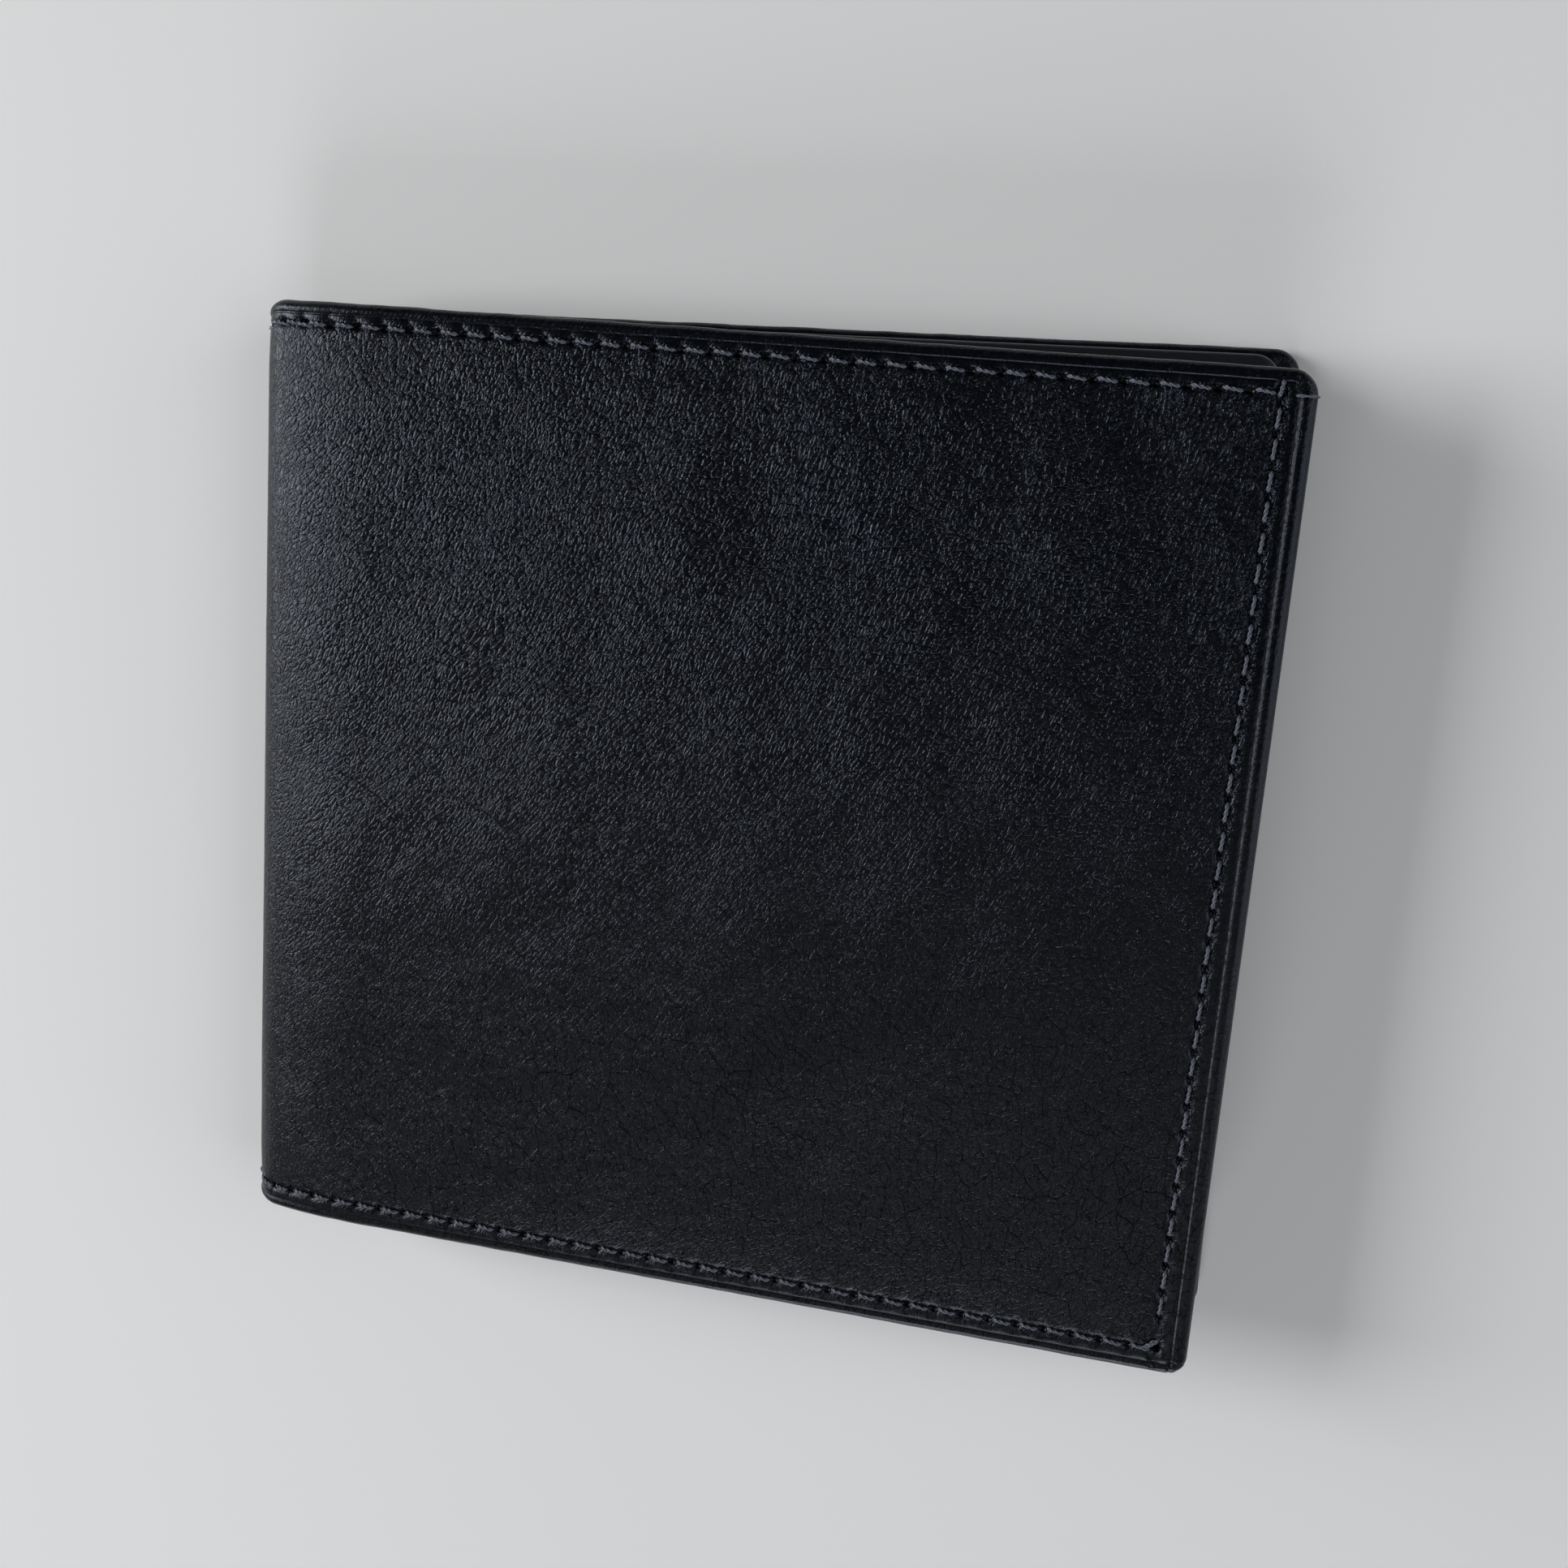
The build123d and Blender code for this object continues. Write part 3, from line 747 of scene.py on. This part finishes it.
class Finish:
    """A material whose nodes are laid down one after another."""

    def __init__(self, name, colour, roughness, specular=0.5):
        self.material = bpy.data.materials.new(name)
        self.material.use_nodes = True
        self.tree = self.material.node_tree
        self.shader = self.tree.nodes["Principled BSDF"]
        self.shader.inputs["Base Color"].default_value = (*colour, 1)
        self.shader.inputs["Roughness"].default_value = roughness
        self.shader.inputs["Specular IOR Level"].default_value = specular

    def join(self, source, socket):
        """Links an output, or sets a plain value."""
        if isinstance(source, bpy.types.NodeSocket):
            self.tree.links.new(source, socket)
        elif source is not None:
            socket.default_value = source

    def add(self, kind, values=(), **settings):
        """Adds a node; values go to its inputs by name or number."""
        node = self.tree.nodes.new(kind)
        for key, value in settings.items():
            setattr(node, key, value)
        for key, value in dict(values).items():
            self.join(value, node.inputs[key])
        return node

    def math(self, operation, a, b=None, c=None):
        """One step of arithmetic."""
        node = self.add("ShaderNodeMath", operation=operation)
        for socket, value in zip(node.inputs, (a, b, c)):
            self.join(value, socket)
        return node.outputs[0]

    def times(self, a, b):
        return self.math("MULTIPLY", a, b)

    def times_plus(self, a, b, c):
        return self.math("MULTIPLY_ADD", a, b, c)

    def minus(self, a, b):
        return self.math("SUBTRACT", a, b)

    def most(self, a, b):
        return self.math("MAXIMUM", a, b)

    def size(self, a):
        return self.math("ABSOLUTE", a)

    def ramp(self, value, low, high, to_low=0.0, to_high=1.0):
        """Smoothly rescales a value between two limits."""
        values = {0: value, 1: low, 2: high, 3: to_low, 4: to_high}
        return self.add("ShaderNodeMapRange", values, interpolation_type="SMOOTHSTEP").outputs[0]

    def turned(self, place, angle, along, across, centre=(0, 0)):
        """Coordinates about a centre with X along a slant, stretched along and across it."""
        values = {"Vector": place, "Location": (*centre, 0), "Rotation": (0, 0, angle),
                  "Scale": (along, across, 1)}
        return self.add("ShaderNodeMapping", values, vector_type="TEXTURE").outputs[0]

    def noise(self, place, scale, detail=2.0, roughness=0.5):
        values = {"Vector": place, "Scale": scale, "Detail": detail, "Roughness": roughness}
        return self.add("ShaderNodeTexNoise", values).outputs[0]

    def cells(self, place, scale):
        """Distance to the nearest edge of a field of cells."""
        values = {"Vector": place, "Scale": scale}
        settings = {"feature": "DISTANCE_TO_EDGE", "voronoi_dimensions": "2D"}
        return self.add("ShaderNodeTexVoronoi", values, **settings).outputs["Distance"]

    def pebbles(self, place, scale):
        """Rounded domes, 1 at their middles."""
        values = {"Vector": place, "Scale": scale}
        node = self.add("ShaderNodeTexVoronoi", values, feature="F1", voronoi_dimensions="2D")
        return self.minus(1.0, self.math("POWER", node.outputs["Distance"], 2.0))

    def mix(self, factor, a, b):
        """Mixes two colours."""
        node = self.add("ShaderNodeMix", data_type="RGBA")
        for number, value in ((0, factor), (6, a), (7, b)):
            if isinstance(value, tuple):
                value = (*value, 1)
            self.join(value, node.inputs[number])
        return node.outputs[2]

    def split(self, place):
        """The first two coordinates."""
        return self.add("ShaderNodeSeparateXYZ", {0: place}).outputs[:2]

    def colour(self, base):
        """Feeds the shader's colour."""
        self.join(base, self.shader.inputs["Base Color"])

    def bump(self, height):
        """Feeds a height in mm to the shader's normal."""
        node = self.add("ShaderNodeBump", {"Height": height, "Distance": MM, "Strength": 1.0})
        self.join(node.outputs[0], self.shader.inputs["Normal"])


# Grain of the covers' leather: slants, heights in mm, half sizes of a hole, and colours, among them
# painted light and shade
net_slant, fine_slant, crack_slant = radians(54), radians(38), radians(80)
net_height, wrinkle_height, fine_height, pore_height = 0.058, 0.028, 0.014, 0.008
hole_size = (0.52, 0.35)
blue_black = (0.0016, 0.0023, 0.0050)
faded_black = (0.0024, 0.0029, 0.0050)
# Painted light: the lower part of a cover is painted lighter, standing in for the light that falls on it
# from below.
painted_low_light = (0.0172, 0.0174, 0.0200)
# Painted highlight: the fold is painted greyer where its bend catches the lamp at the left.
painted_fold_highlight = (0.0150, 0.0154, 0.0172)
rubbed_grey = (0.022, 0.023, 0.026)
# Painted highlight: the crest beside the free edge is painted light grey where it catches the light.
painted_ridge_highlight = (0.12, 0.125, 0.135)
# Painted shade: cracks, pits, the grain's valleys, the pressed lines and the hide's marks are painted
# near black where shade falls in them.
painted_hollow_shade = (0.0006, 0.0006, 0.0009)
# Painted shade: the awl holes are painted black for the shade inside them.
painted_hole_shade = (0.0002, 0.0002, 0.0003)


def cover_leather_finish(side):
    """Blue-black calf leather, with its grain, awl holes and the line pressed beside its edges, and
    painted light and shade in its colour.
    """
    f = Finish(f"{side}_cover_leather", (0.004, 0.005, 0.009), 0.36, 0.27)
    f.shader.inputs["Specular Tint"].default_value = (0.70, 0.80, 1.0, 1)
    place = placed_on_cut(f)
    u, v = f.split(place)
    flow = wandering(f, wandering(f, place, 0.05, 5.0), 0.7, 0.6)

    # Where the skin was pulled flat: by the fold and low down. Elsewhere it is supple.
    drift = f.noise(place, 0.15)
    by_fold = f.ramp(f.times_plus(drift, 14.0, u), 7.5, 19.0, 1.0, 0.0)
    low = f.ramp(f.times_plus(drift, 20.0, v), 44.0, -24.0)
    flat = f.most(f.times(by_fold, 0.85), low)
    supple = f.times_plus(flat, -0.66, 1.0)
    patch = f.ramp(f.noise(place, 0.08, 2.0), 0.35, 0.65, 0.8, 1.0)

    # The grain: a slanted net with wrinkles, finer cells, and dry cracks, pores and pits
    net = f.ramp(f.cells(f.turned(flow, net_slant, 1.65, 0.8), 1.6), 0.0, 0.27)
    streak = f.noise(f.turned(flow, net_slant, 3.2, 0.9), 0.9, 2.0)
    wrinkle = f.ramp(f.size(f.minus(streak, 0.5)), 0.0, 0.045)
    fine_net = f.ramp(f.cells(f.turned(flow, fine_slant, 1.2, 0.85), 3.0), 0.0, 0.26)
    cracks = f.times(dry_cracks(f, place, flow, drift), f.times_plus(flat, 0.75, 0.25))
    pores = f.noise(place, 8.0, 3.0, 0.6)
    pits = f.ramp(f.noise(f.turned(place, crack_slant, 1.7, 0.8), 3.4, 2.0), 0.41, 0.34)

    # Heights in mm
    height = f.times(net, f.times(f.times(supple, patch), net_height))
    height = f.times_plus(wrinkle, f.times(supple, wrinkle_height), height)
    height = f.times_plus(fine_net, f.times_plus(supple, fine_height, 0.003), height)
    height = f.times_plus(cracks, f.times_plus(by_fold, -0.025, -0.010), height)
    height = f.times_plus(pits, -0.005, height)
    height = f.times_plus(pores, pore_height, height)

    # The pressed edge, the awl holes, the pressed line with its raised crest, and the marks of the hide
    edge = rim_mask(f, u, v)
    height = f.times(height, f.times_plus(edge, -0.75, 1.0))
    hole = awl_holes(f, u, v)
    crease = crease_lines(f, u, v)
    ridge_and_highlight = crest_and_highlight(f, place, u, v)
    marks = natural_marks(f, place) if side == "front" else 0.0
    for mask, rise in ((hole, -0.15), (crease, -0.10), (ridge_and_highlight, 0.06), (marks, -0.06)):
        height = f.times_plus(mask, rise, height)
    f.bump(height)

    # Colour: blue-black where supple; greyer low down as painted light, and by the fold as a painted
    # highlight; rubbed at the edges; painted shade in every hollow and awl hole; a painted highlight on
    # the crest
    # Painted shade in the valleys between the grain's cells and wrinkles.
    valley_shade = f.minus(1.0, f.times(net, wrinkle))
    valley_shade = f.times(valley_shade, f.times(supple, 0.8))
    cracks = f.most(f.most(cracks, f.times(pits, 0.7)), valley_shade)
    worn = f.ramp(f.noise(place, 0.045, 3.0), 0.38, 0.66)
    base = f.mix(worn, blue_black, faded_black)
    # Painted light: lighter towards the bottom, for the light from below.
    base = f.mix(low, base, painted_low_light)
    # Painted highlight on the fold, where it bends towards the light.
    base = f.mix(f.times(by_fold, 0.8), base, painted_fold_highlight)
    scuffs = f.times(f.ramp(f.noise(place, 2.5, 4.0, 0.65), 0.55, 0.72), edge)
    base = f.mix(f.times(scuffs, 0.7), base, rubbed_grey)
    # Painted shade in the cracks, pits, valleys, pressed lines and marks.
    hollow_shade = f.times(f.most(crease, cracks), 0.92)
    base = f.mix(f.most(hollow_shade, f.times(marks, 0.65)), base, painted_hollow_shade)
    # Painted highlight on the crest beside the free edge.
    base = f.mix(ridge_and_highlight, base, painted_ridge_highlight)
    # Painted shade in the awl holes.
    base = f.mix(hole, base, painted_hole_shade)
    f.colour(base)
    f.join(f.times_plus(hollow_shade, -0.06, 0.32), f.shader.inputs["Roughness"])
    return f.material


def dry_cracks(f, place, flow, drift):
    """Mask of the cracks of the dry skin: wide, middling and tiny ones, each broken up."""
    upright = f.turned(flow, crack_slant, 1.5, 0.85)
    wide = f.times(f.ramp(f.cells(upright, 0.42), 0.034, 0.008), f.ramp(drift, 0.3, 0.5, 0.4, 1.0))
    broken = f.ramp(f.noise(place, 0.8, 2.0), 0.36, 0.52)
    cracks = f.most(f.times(f.ramp(f.cells(upright, 1.15), 0.075, 0.02), broken), wide)
    tiny = f.times(f.ramp(f.cells(upright, 2.4), 0.14, 0.03), f.ramp(f.noise(place, 1.7), 0.42, 0.55))
    return f.most(cracks, f.times(tiny, 0.8))


def crest_and_highlight(f, place, u, v):
    """Mask of the crest beside the free edge, broken along its length; it raises the crest and carries
    its painted highlight.
    """
    ridge_and_highlight = f.ramp(f.size(f.minus(u, cover_width - side_crease)), 0.13, 0.03)
    ridge_and_highlight = f.times(ridge_and_highlight, f.ramp(f.noise(place, 1.4, 4.0, 0.65), 0.40, 0.60, 0.25, 1.0))
    return f.times(ridge_and_highlight, f.ramp(f.size(v), half_height - 1.5, half_height - 3.0))


def natural_marks(f, place):
    """Wrinkles and a scratch of the hide, on the front cover: where each begins and ends (from the fold,
    above the middle), how wide it is and how far it bows."""
    wavy = wandering(f, place, 0.8, 0.7)
    found = 0.0
    marks = (
        ((52.6, 41.8), (59.3, 46.3), 0.30, 0.5),
        ((71, 32.3), (81, 31.8), 0.22, -0.8),
        ((9, 3), (19, -3), 0.20, 0.9),
        ((19, 2), (32, -2), 0.16, 2.5),
        ((60, 12), (66, 19), 0.18, 0.6),
    )
    for start, end, width, bow in marks:
        a, b = Vector(start), Vector(end)
        run = b - a
        on_mark = f.turned(wavy, atan2(run.y, run.x), run.length / 2, 1, (a + b) / 2)
        along, across = f.split(on_mark)
        bent = f.times_plus(f.times(along, along), bow, across)
        line = f.ramp(f.size(bent), width, 0.0)
        line = f.times(line, f.ramp(f.size(along), 1.0, 0.6))
        found = f.most(found, line)
    return found


def wandering(f, place, scale, amount):
    """Coordinates pushed about by a noise, in mm."""
    push = f.add("ShaderNodeTexNoise", {"Vector": place, "Scale": scale, "Detail": 2.0}).outputs["Color"]
    middle = (0.5, 0.5, 0.5)
    centred = f.add("ShaderNodeVectorMath", {0: push, 1: middle}, operation="SUBTRACT").outputs[0]
    shift = f.add("ShaderNodeVectorMath", {0: centred, "Scale": amount}, operation="SCALE").outputs[0]
    return f.add("ShaderNodeVectorMath", {0: place, 1: shift}, operation="ADD").outputs[0]


def rim_mask(f, u, v):
    """1 on the turned edge outside the sewing."""
    side = f.ramp(u, cover_width - 2.6, cover_width - 2.2)
    ends = f.ramp(f.size(v), half_height - 2.0, half_height - 1.7)
    return f.most(side, ends)


def oval(f, along, across):
    """An oval awl hole, slanted to its seam: 1 inside, 0 outside."""
    slanted = f.math("ADD", along, f.times(across, hole_slant))
    a = f.math("POWER", f.math("DIVIDE", slanted, hole_size[0]), 2.0)
    b = f.math("POWER", f.math("DIVIDE", across, hole_size[1]), 2.0)
    return f.ramp(f.math("ADD", a, b), 1.15, 0.7)


def along_seam(f, coordinate, first):
    """Distance along a seam to the nearest awl hole."""
    phase = f.math("DIVIDE", f.minus(coordinate, first), stitch_pitch)
    return f.times(f.minus(phase, f.math("ROUND", phase)), stitch_pitch)


def awl_holes(f, u, v):
    """Mask of the holes along the three seams of a cover."""
    rows = f.math("LESS_THAN", u, side_seam_u + 0.6)
    found = 0.0
    for which, line in seams_v.items():
        row = oval(f, along_seam(f, u, first_hole(which)), f.minus(v, line))
        found = f.most(found, f.times(row, rows))
    column = oval(f, along_seam(f, v, first_hole("side")), f.minus(u, side_seam_u))
    inside = f.math("LESS_THAN", f.size(v), half_height - 0.5)
    return f.most(found, f.times(column, inside))


def crease_lines(f, u, v):
    """Mask of the line pressed into the leather between the sewing and the edge."""
    side = f.ramp(f.size(f.minus(u, cover_width - side_crease)), 0.20, 0.05)
    ends = f.ramp(f.size(f.minus(f.size(v), half_height - edge_crease)), 0.17, 0.04)
    side = f.times(side, f.math("LESS_THAN", f.size(v), half_height - 1.0))
    ends = f.times(ends, f.math("LESS_THAN", u, cover_width - 1.2))
    return f.most(side, f.times(ends, 0.5))


def inner_leather_finish():
    """Smooth black leather of the panels and pockets, with a fine even grain."""
    f = Finish("inner_leather", (0.007, 0.0075, 0.009), 0.42, 0.45)
    f.shader.inputs["Specular Tint"].default_value = (0.80, 0.88, 1.0, 1)
    place = placed_on_cut(f)
    height = f.times(f.pebbles(wandering(f, place, 0.8, 0.5), 3.0), 0.022)
    height = f.math("ADD", height, f.times(f.noise(place, 9.0, 3.0), 0.012))
    f.bump(height)
    worn = f.ramp(f.noise(place, 0.08, 3.0), 0.35, 0.7)
    f.colour(f.mix(worn, (0.0060, 0.0065, 0.0085), (0.0095, 0.0100, 0.0120)))
    return f.material


def placed_on_cut(f):
    """Coordinates in mm on the cut sheet."""
    cut = f.add("ShaderNodeUVMap", uv_map="cut").outputs[0]
    return f.add("ShaderNodeVectorMath", {0: cut, "Scale": map_unit}, operation="SCALE").outputs[0]


def placed_on_object(f):
    """Coordinates in metres on the piece itself."""
    return f.add("ShaderNodeTexCoord").outputs["Object"]


def lining_finish():
    """Dark woven lining: threads of warp and weft, crossing."""
    f = Finish("lining_cloth", (0.016, 0.017, 0.021), 0.7, 0.4)
    u, v = f.split(placed_on_cut(f))
    thread_pitch = 0.45
    warp = f.math("SINE", f.times(u, 2 * pi / thread_pitch))
    weft = f.math("SINE", f.times(v, 2 * pi / thread_pitch))
    weave = f.size(f.times(warp, weft))
    f.bump(f.times(weave, 0.06))
    f.colour(f.mix(weave, (0.008, 0.0085, 0.011), (0.026, 0.027, 0.033)))
    return f.material


def board_finish():
    """Grey-brown bonded board."""
    f = Finish("bonded_board", (0.10, 0.085, 0.07), 0.9, 0.2)
    fibre = f.noise(placed_on_object(f), 1800.0, 4.0)
    f.colour(f.mix(fibre, (0.07, 0.06, 0.05), (0.14, 0.12, 0.10)))
    return f.material


def film_finish():
    """Clear film of the card window, faintly clouded with use."""
    f = Finish("clear_film", (0.95, 0.96, 0.97), 0.08, 0.5)
    f.shader.inputs["IOR"].default_value = 1.45
    f.shader.inputs["Transmission Weight"].default_value = 1.0
    haze = f.ramp(f.noise(placed_on_object(f), 60.0, 3.0), 0.35, 0.75, 0.05, 0.16)
    f.join(haze, f.shader.inputs["Roughness"])
    return f.material


def thread_finish():
    """Waxed navy thread."""
    f = Finish("navy_thread", (0.07, 0.08, 0.11), 0.42, 0.5)
    fibre = f.noise(placed_on_object(f), 9000.0, 2.0)
    f.colour(f.mix(f.ramp(fibre, 0.3, 0.7), (0.045, 0.052, 0.080), (0.14, 0.155, 0.195)))
    f.bump(f.times(fibre, 0.02))
    return f.material


# -------- the sewing

def twisted_stitch():
    """Two plies of thread twisted round each other along X; returns its corners in mm and its faces."""
    start_clean()
    plies = []
    for side in (-1, 1):
        bpy.ops.mesh.primitive_cylinder_add(
            vertices=ply_sides, radius=thread_radius, depth=stitch_length,
            location=(0, side * ply_offset, 0), rotation=(0, pi / 2, 0))
        plies.append(bpy.context.object)
    for ply in plies:
        ply.select_set(True)
    bpy.ops.object.join()
    stitch = bpy.context.object
    bpy.ops.object.transform_apply(location=True, rotation=True, scale=True)
    bpy.ops.object.mode_set(mode="EDIT")
    bpy.ops.mesh.select_mode(type="EDGE")
    bpy.ops.mesh.select_all(action="DESELECT")
    bpy.ops.object.mode_set(mode="OBJECT")
    for edge in stitch.data.edges:
        a, b = (stitch.data.vertices[i].co for i in edge.vertices)
        edge.select = abs(a.x - b.x) > stitch_length / 2
    bpy.ops.object.mode_set(mode="EDIT")
    bpy.ops.mesh.subdivide(number_cuts=ply_cuts)
    bpy.ops.object.mode_set(mode="OBJECT")
    apply_modifier(stitch, "SIMPLE_DEFORM", deform_method="TWIST", deform_axis="X", angle=ply_twist)
    corners = np.array([v.co[:] for v in stitch.data.vertices])
    faces = [tuple(p.vertices) for p in stitch.data.polygons]
    bpy.data.objects.remove(stitch)
    return corners, faces


stitch_corners, stitch_faces = twisted_stitch()


def on_cover(side, face_depth=0.0):
    """Where the stitches of a cover lie: over its outer face, or over an inner face at a depth."""
    def place(u, v, rise):
        if face_depth:
            return lay_on_cover(side, u, v, face_depth + rise)
        new_u, new_v, depth, _ = turned_edge(u, v, rise - stitch_sunk[side])
        return lay_on_cover(side, new_u, new_v, depth)
    return place


def sewn(name, place, stitches, material, body=None):
    """One mesh of stitches. Each is (u, v, along_u, along_v, length, slant), its two ends down in their
    holes; place turns u, v and the rise over the leather into points."""
    points, faces = [], []
    x, y, z = stitch_corners.T
    for u, v, along_u, along_v, length, slant in stitches:
        part = x / stitch_length
        along = part * length + random.uniform(*uneven_place)
        across = y * random.uniform(*uneven_width) + slant * part
        drop = stitch_drop * np.abs(2 * part) ** drop_power
        rise = stitch_rise + z - drop + random.uniform(*uneven_height)
        first = sum(len(p) for p in points)
        new_u = u + along * along_u - across * along_v
        new_v = v + along * along_v + across * along_u
        points.append(place(new_u, new_v, rise))
        faces += [tuple(i + first for i in face) for face in stitch_faces]
    mesh = bpy.data.meshes.new(name)
    mesh.from_pydata(np.concatenate(points).tolist(), [], faces)
    piece = add_object(name, mesh)
    finish_piece(piece, name, material, body)
    return piece


def sew_cover(side, material):
    """The three seams of a cover, their run round the fold, and the inner panel's sewing."""
    body = f"{side}_cover"
    slant = stitch_slant

    def along(places, v):
        return [(u, v, 1, 0, stitch_length, slant) for u in places]

    places_up = side_places()
    for which, v in seams_v.items():
        run = along(long_places(), v)
        if which == "top":  # its last stitch goes round the free edge
            run.append((cover_width - 0.4, v - 0.1, 1, 0, wrap_length, 0.15))
        else:  # two slanted stitches, side by side, turn the corner
            run += [(side_seam_u - 0.75 + i, v + 0.4 + i / 3, 0.8, 0.6, 1.8, 0.1) for i in (0, 0.42)]
        piece = sewn(f"{side}_{which}_stitches", on_cover(side), run, material, body)
        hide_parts(f"{side}_{which}_seam")
    column = [(side_seam_u, v, 0, 1, stitch_length, slant / 2) for v in places_up]
    column.append((side_seam_u, places_up[-1] + stitch_pitch * 0.95, 0, 1, stitch_length * 0.85, slant))
    piece = sewn(f"{side}_side_stitches", on_cover(side), column, material, body)
    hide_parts(f"{side}_side_seam")
    places = [first_hole("top") - stitch_pitch * (i + 0.5) for i in range(3)]
    run = []
    for which, v in seams_v.items():
        run += along(places, v)
        if which == "top":  # doubled where the seam starts
            run += along([u + 0.5 * stitch_pitch for u in places[:2]], v - 0.18)
    piece = sewn(f"{side}_fold_stitches", on_cover(side), run, material)
    blend_over_fold(piece, side)
    run = along(seam_places(panel_left, side_seam_u), seams_v["bottom"])
    run += [(side_seam_u, v, 0, 1, stitch_length, slant) for v in places_up]
    sewn(f"{side}_inner_stitches", on_cover(side, panel_face), run, material, body)


def sew_leaf(thread):
    """The seam of the leaf, once round."""
    left, right, top = leaf_left + leaf_seam, leaf_right - leaf_seam, leaf_top - leaf_seam
    slant = leaf_stitch_slant
    run = [(u, v, 1, 0, stitch_length, slant) for u in seam_places(left, right) for v in (top, -top)]
    run += [(u, v, 0, 1, stitch_length, slant) for v in seam_places(-top, top) for u in (left, right)]
    seam = sewn("leaf_stitches", at_level(leaf_face - 0.1, 1), run, thread, "centre_leaf")
    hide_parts("leaf_seam")


# -------- floor, light and camera

def studio():
    """Pale floor, a soft lamp at the upper left, two weaker ones and a dim sky."""
    start_clean()
    floor_finish = Finish("pale_floor", (0.87, 0.88, 0.885), 0.9, 0.2)
    bpy.ops.mesh.primitive_plane_add(size=6, location=(0, 0, 0))
    floor = bpy.context.object
    floor.name = "floor"
    floor.data.materials.append(floor_finish.material)
    lamps = (
        ("key", (-0.88, 0.12, 0.42), 0.50, 9.0, (1.0, 0.99, 0.98)),
        ("near_window", (0.0, -0.95, 0.40), 0.50, 4.2, (0.97, 0.98, 1.0)),
        ("fill", (0.85, 0.10, 0.48), 0.90, 3.9, (0.98, 0.99, 1.0)),
    )
    for name, place, size, power, colour in lamps:
        data = bpy.data.lights.new(name, "AREA")
        data.shape = "SQUARE"
        data.size = size
        data.energy = power
        data.color = colour
        lamp = add_object(name, data)
        lamp.location = place
        lamp.rotation_euler = (-Vector(place)).to_track_quat("-Z", "Y").to_euler()
    world = bpy.data.worlds.new("studio")
    bpy.context.scene.world = world
    world.use_nodes = True
    background = world.node_tree.nodes["Background"]
    background.inputs[0].default_value = (0.86, 0.90, 0.96, 1)
    background.inputs[1].default_value = 0.05


def camera():
    """The camera, at its place over the wallet's upper right, looking down at its middle."""
    place = Vector((38.7, 39.1, 178.5)) * MM
    view = Vector((-0.18741, -0.19399, -0.96294))
    up = Vector((-0.10538, 0.97862, -0.17664))
    right = view.cross(up).normalized()
    up = right.cross(view).normalized()
    data = bpy.data.cameras.new("camera")
    data.sensor_width = 36
    data.lens = 39.61
    data.clip_start = 0.005
    eye = add_object("camera", data)
    turn = Matrix((right, up, -view)).transposed().to_4x4()
    eye.matrix_world = Matrix.Translation(place) @ turn
    bpy.context.scene.camera = eye


studio()
camera()

inner_leather = inner_leather_finish()
cloth = lining_finish()
board = board_finish()
thread = thread_finish()
for side in ("back", "front"):
    cover_leather(side, cover_leather_finish(side))
    sew_cover(side, thread)
    cover_layers(side, inner_leather, cloth, board)
    inner_panel(side, inner_leather)
    card_pockets(side, inner_leather)
leaf_leathers(inner_leather)
sew_leaf(thread)
finish_node("leaf_card_window", film_finish())
finish_node("leaf_board", board)
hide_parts("front_outer_leather")
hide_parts("back_outer_leather", "spine_outer_leather")
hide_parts("spine_bottom_seam", "spine_top_seam")

bpy.context.scene.view_settings.view_transform = "Standard"
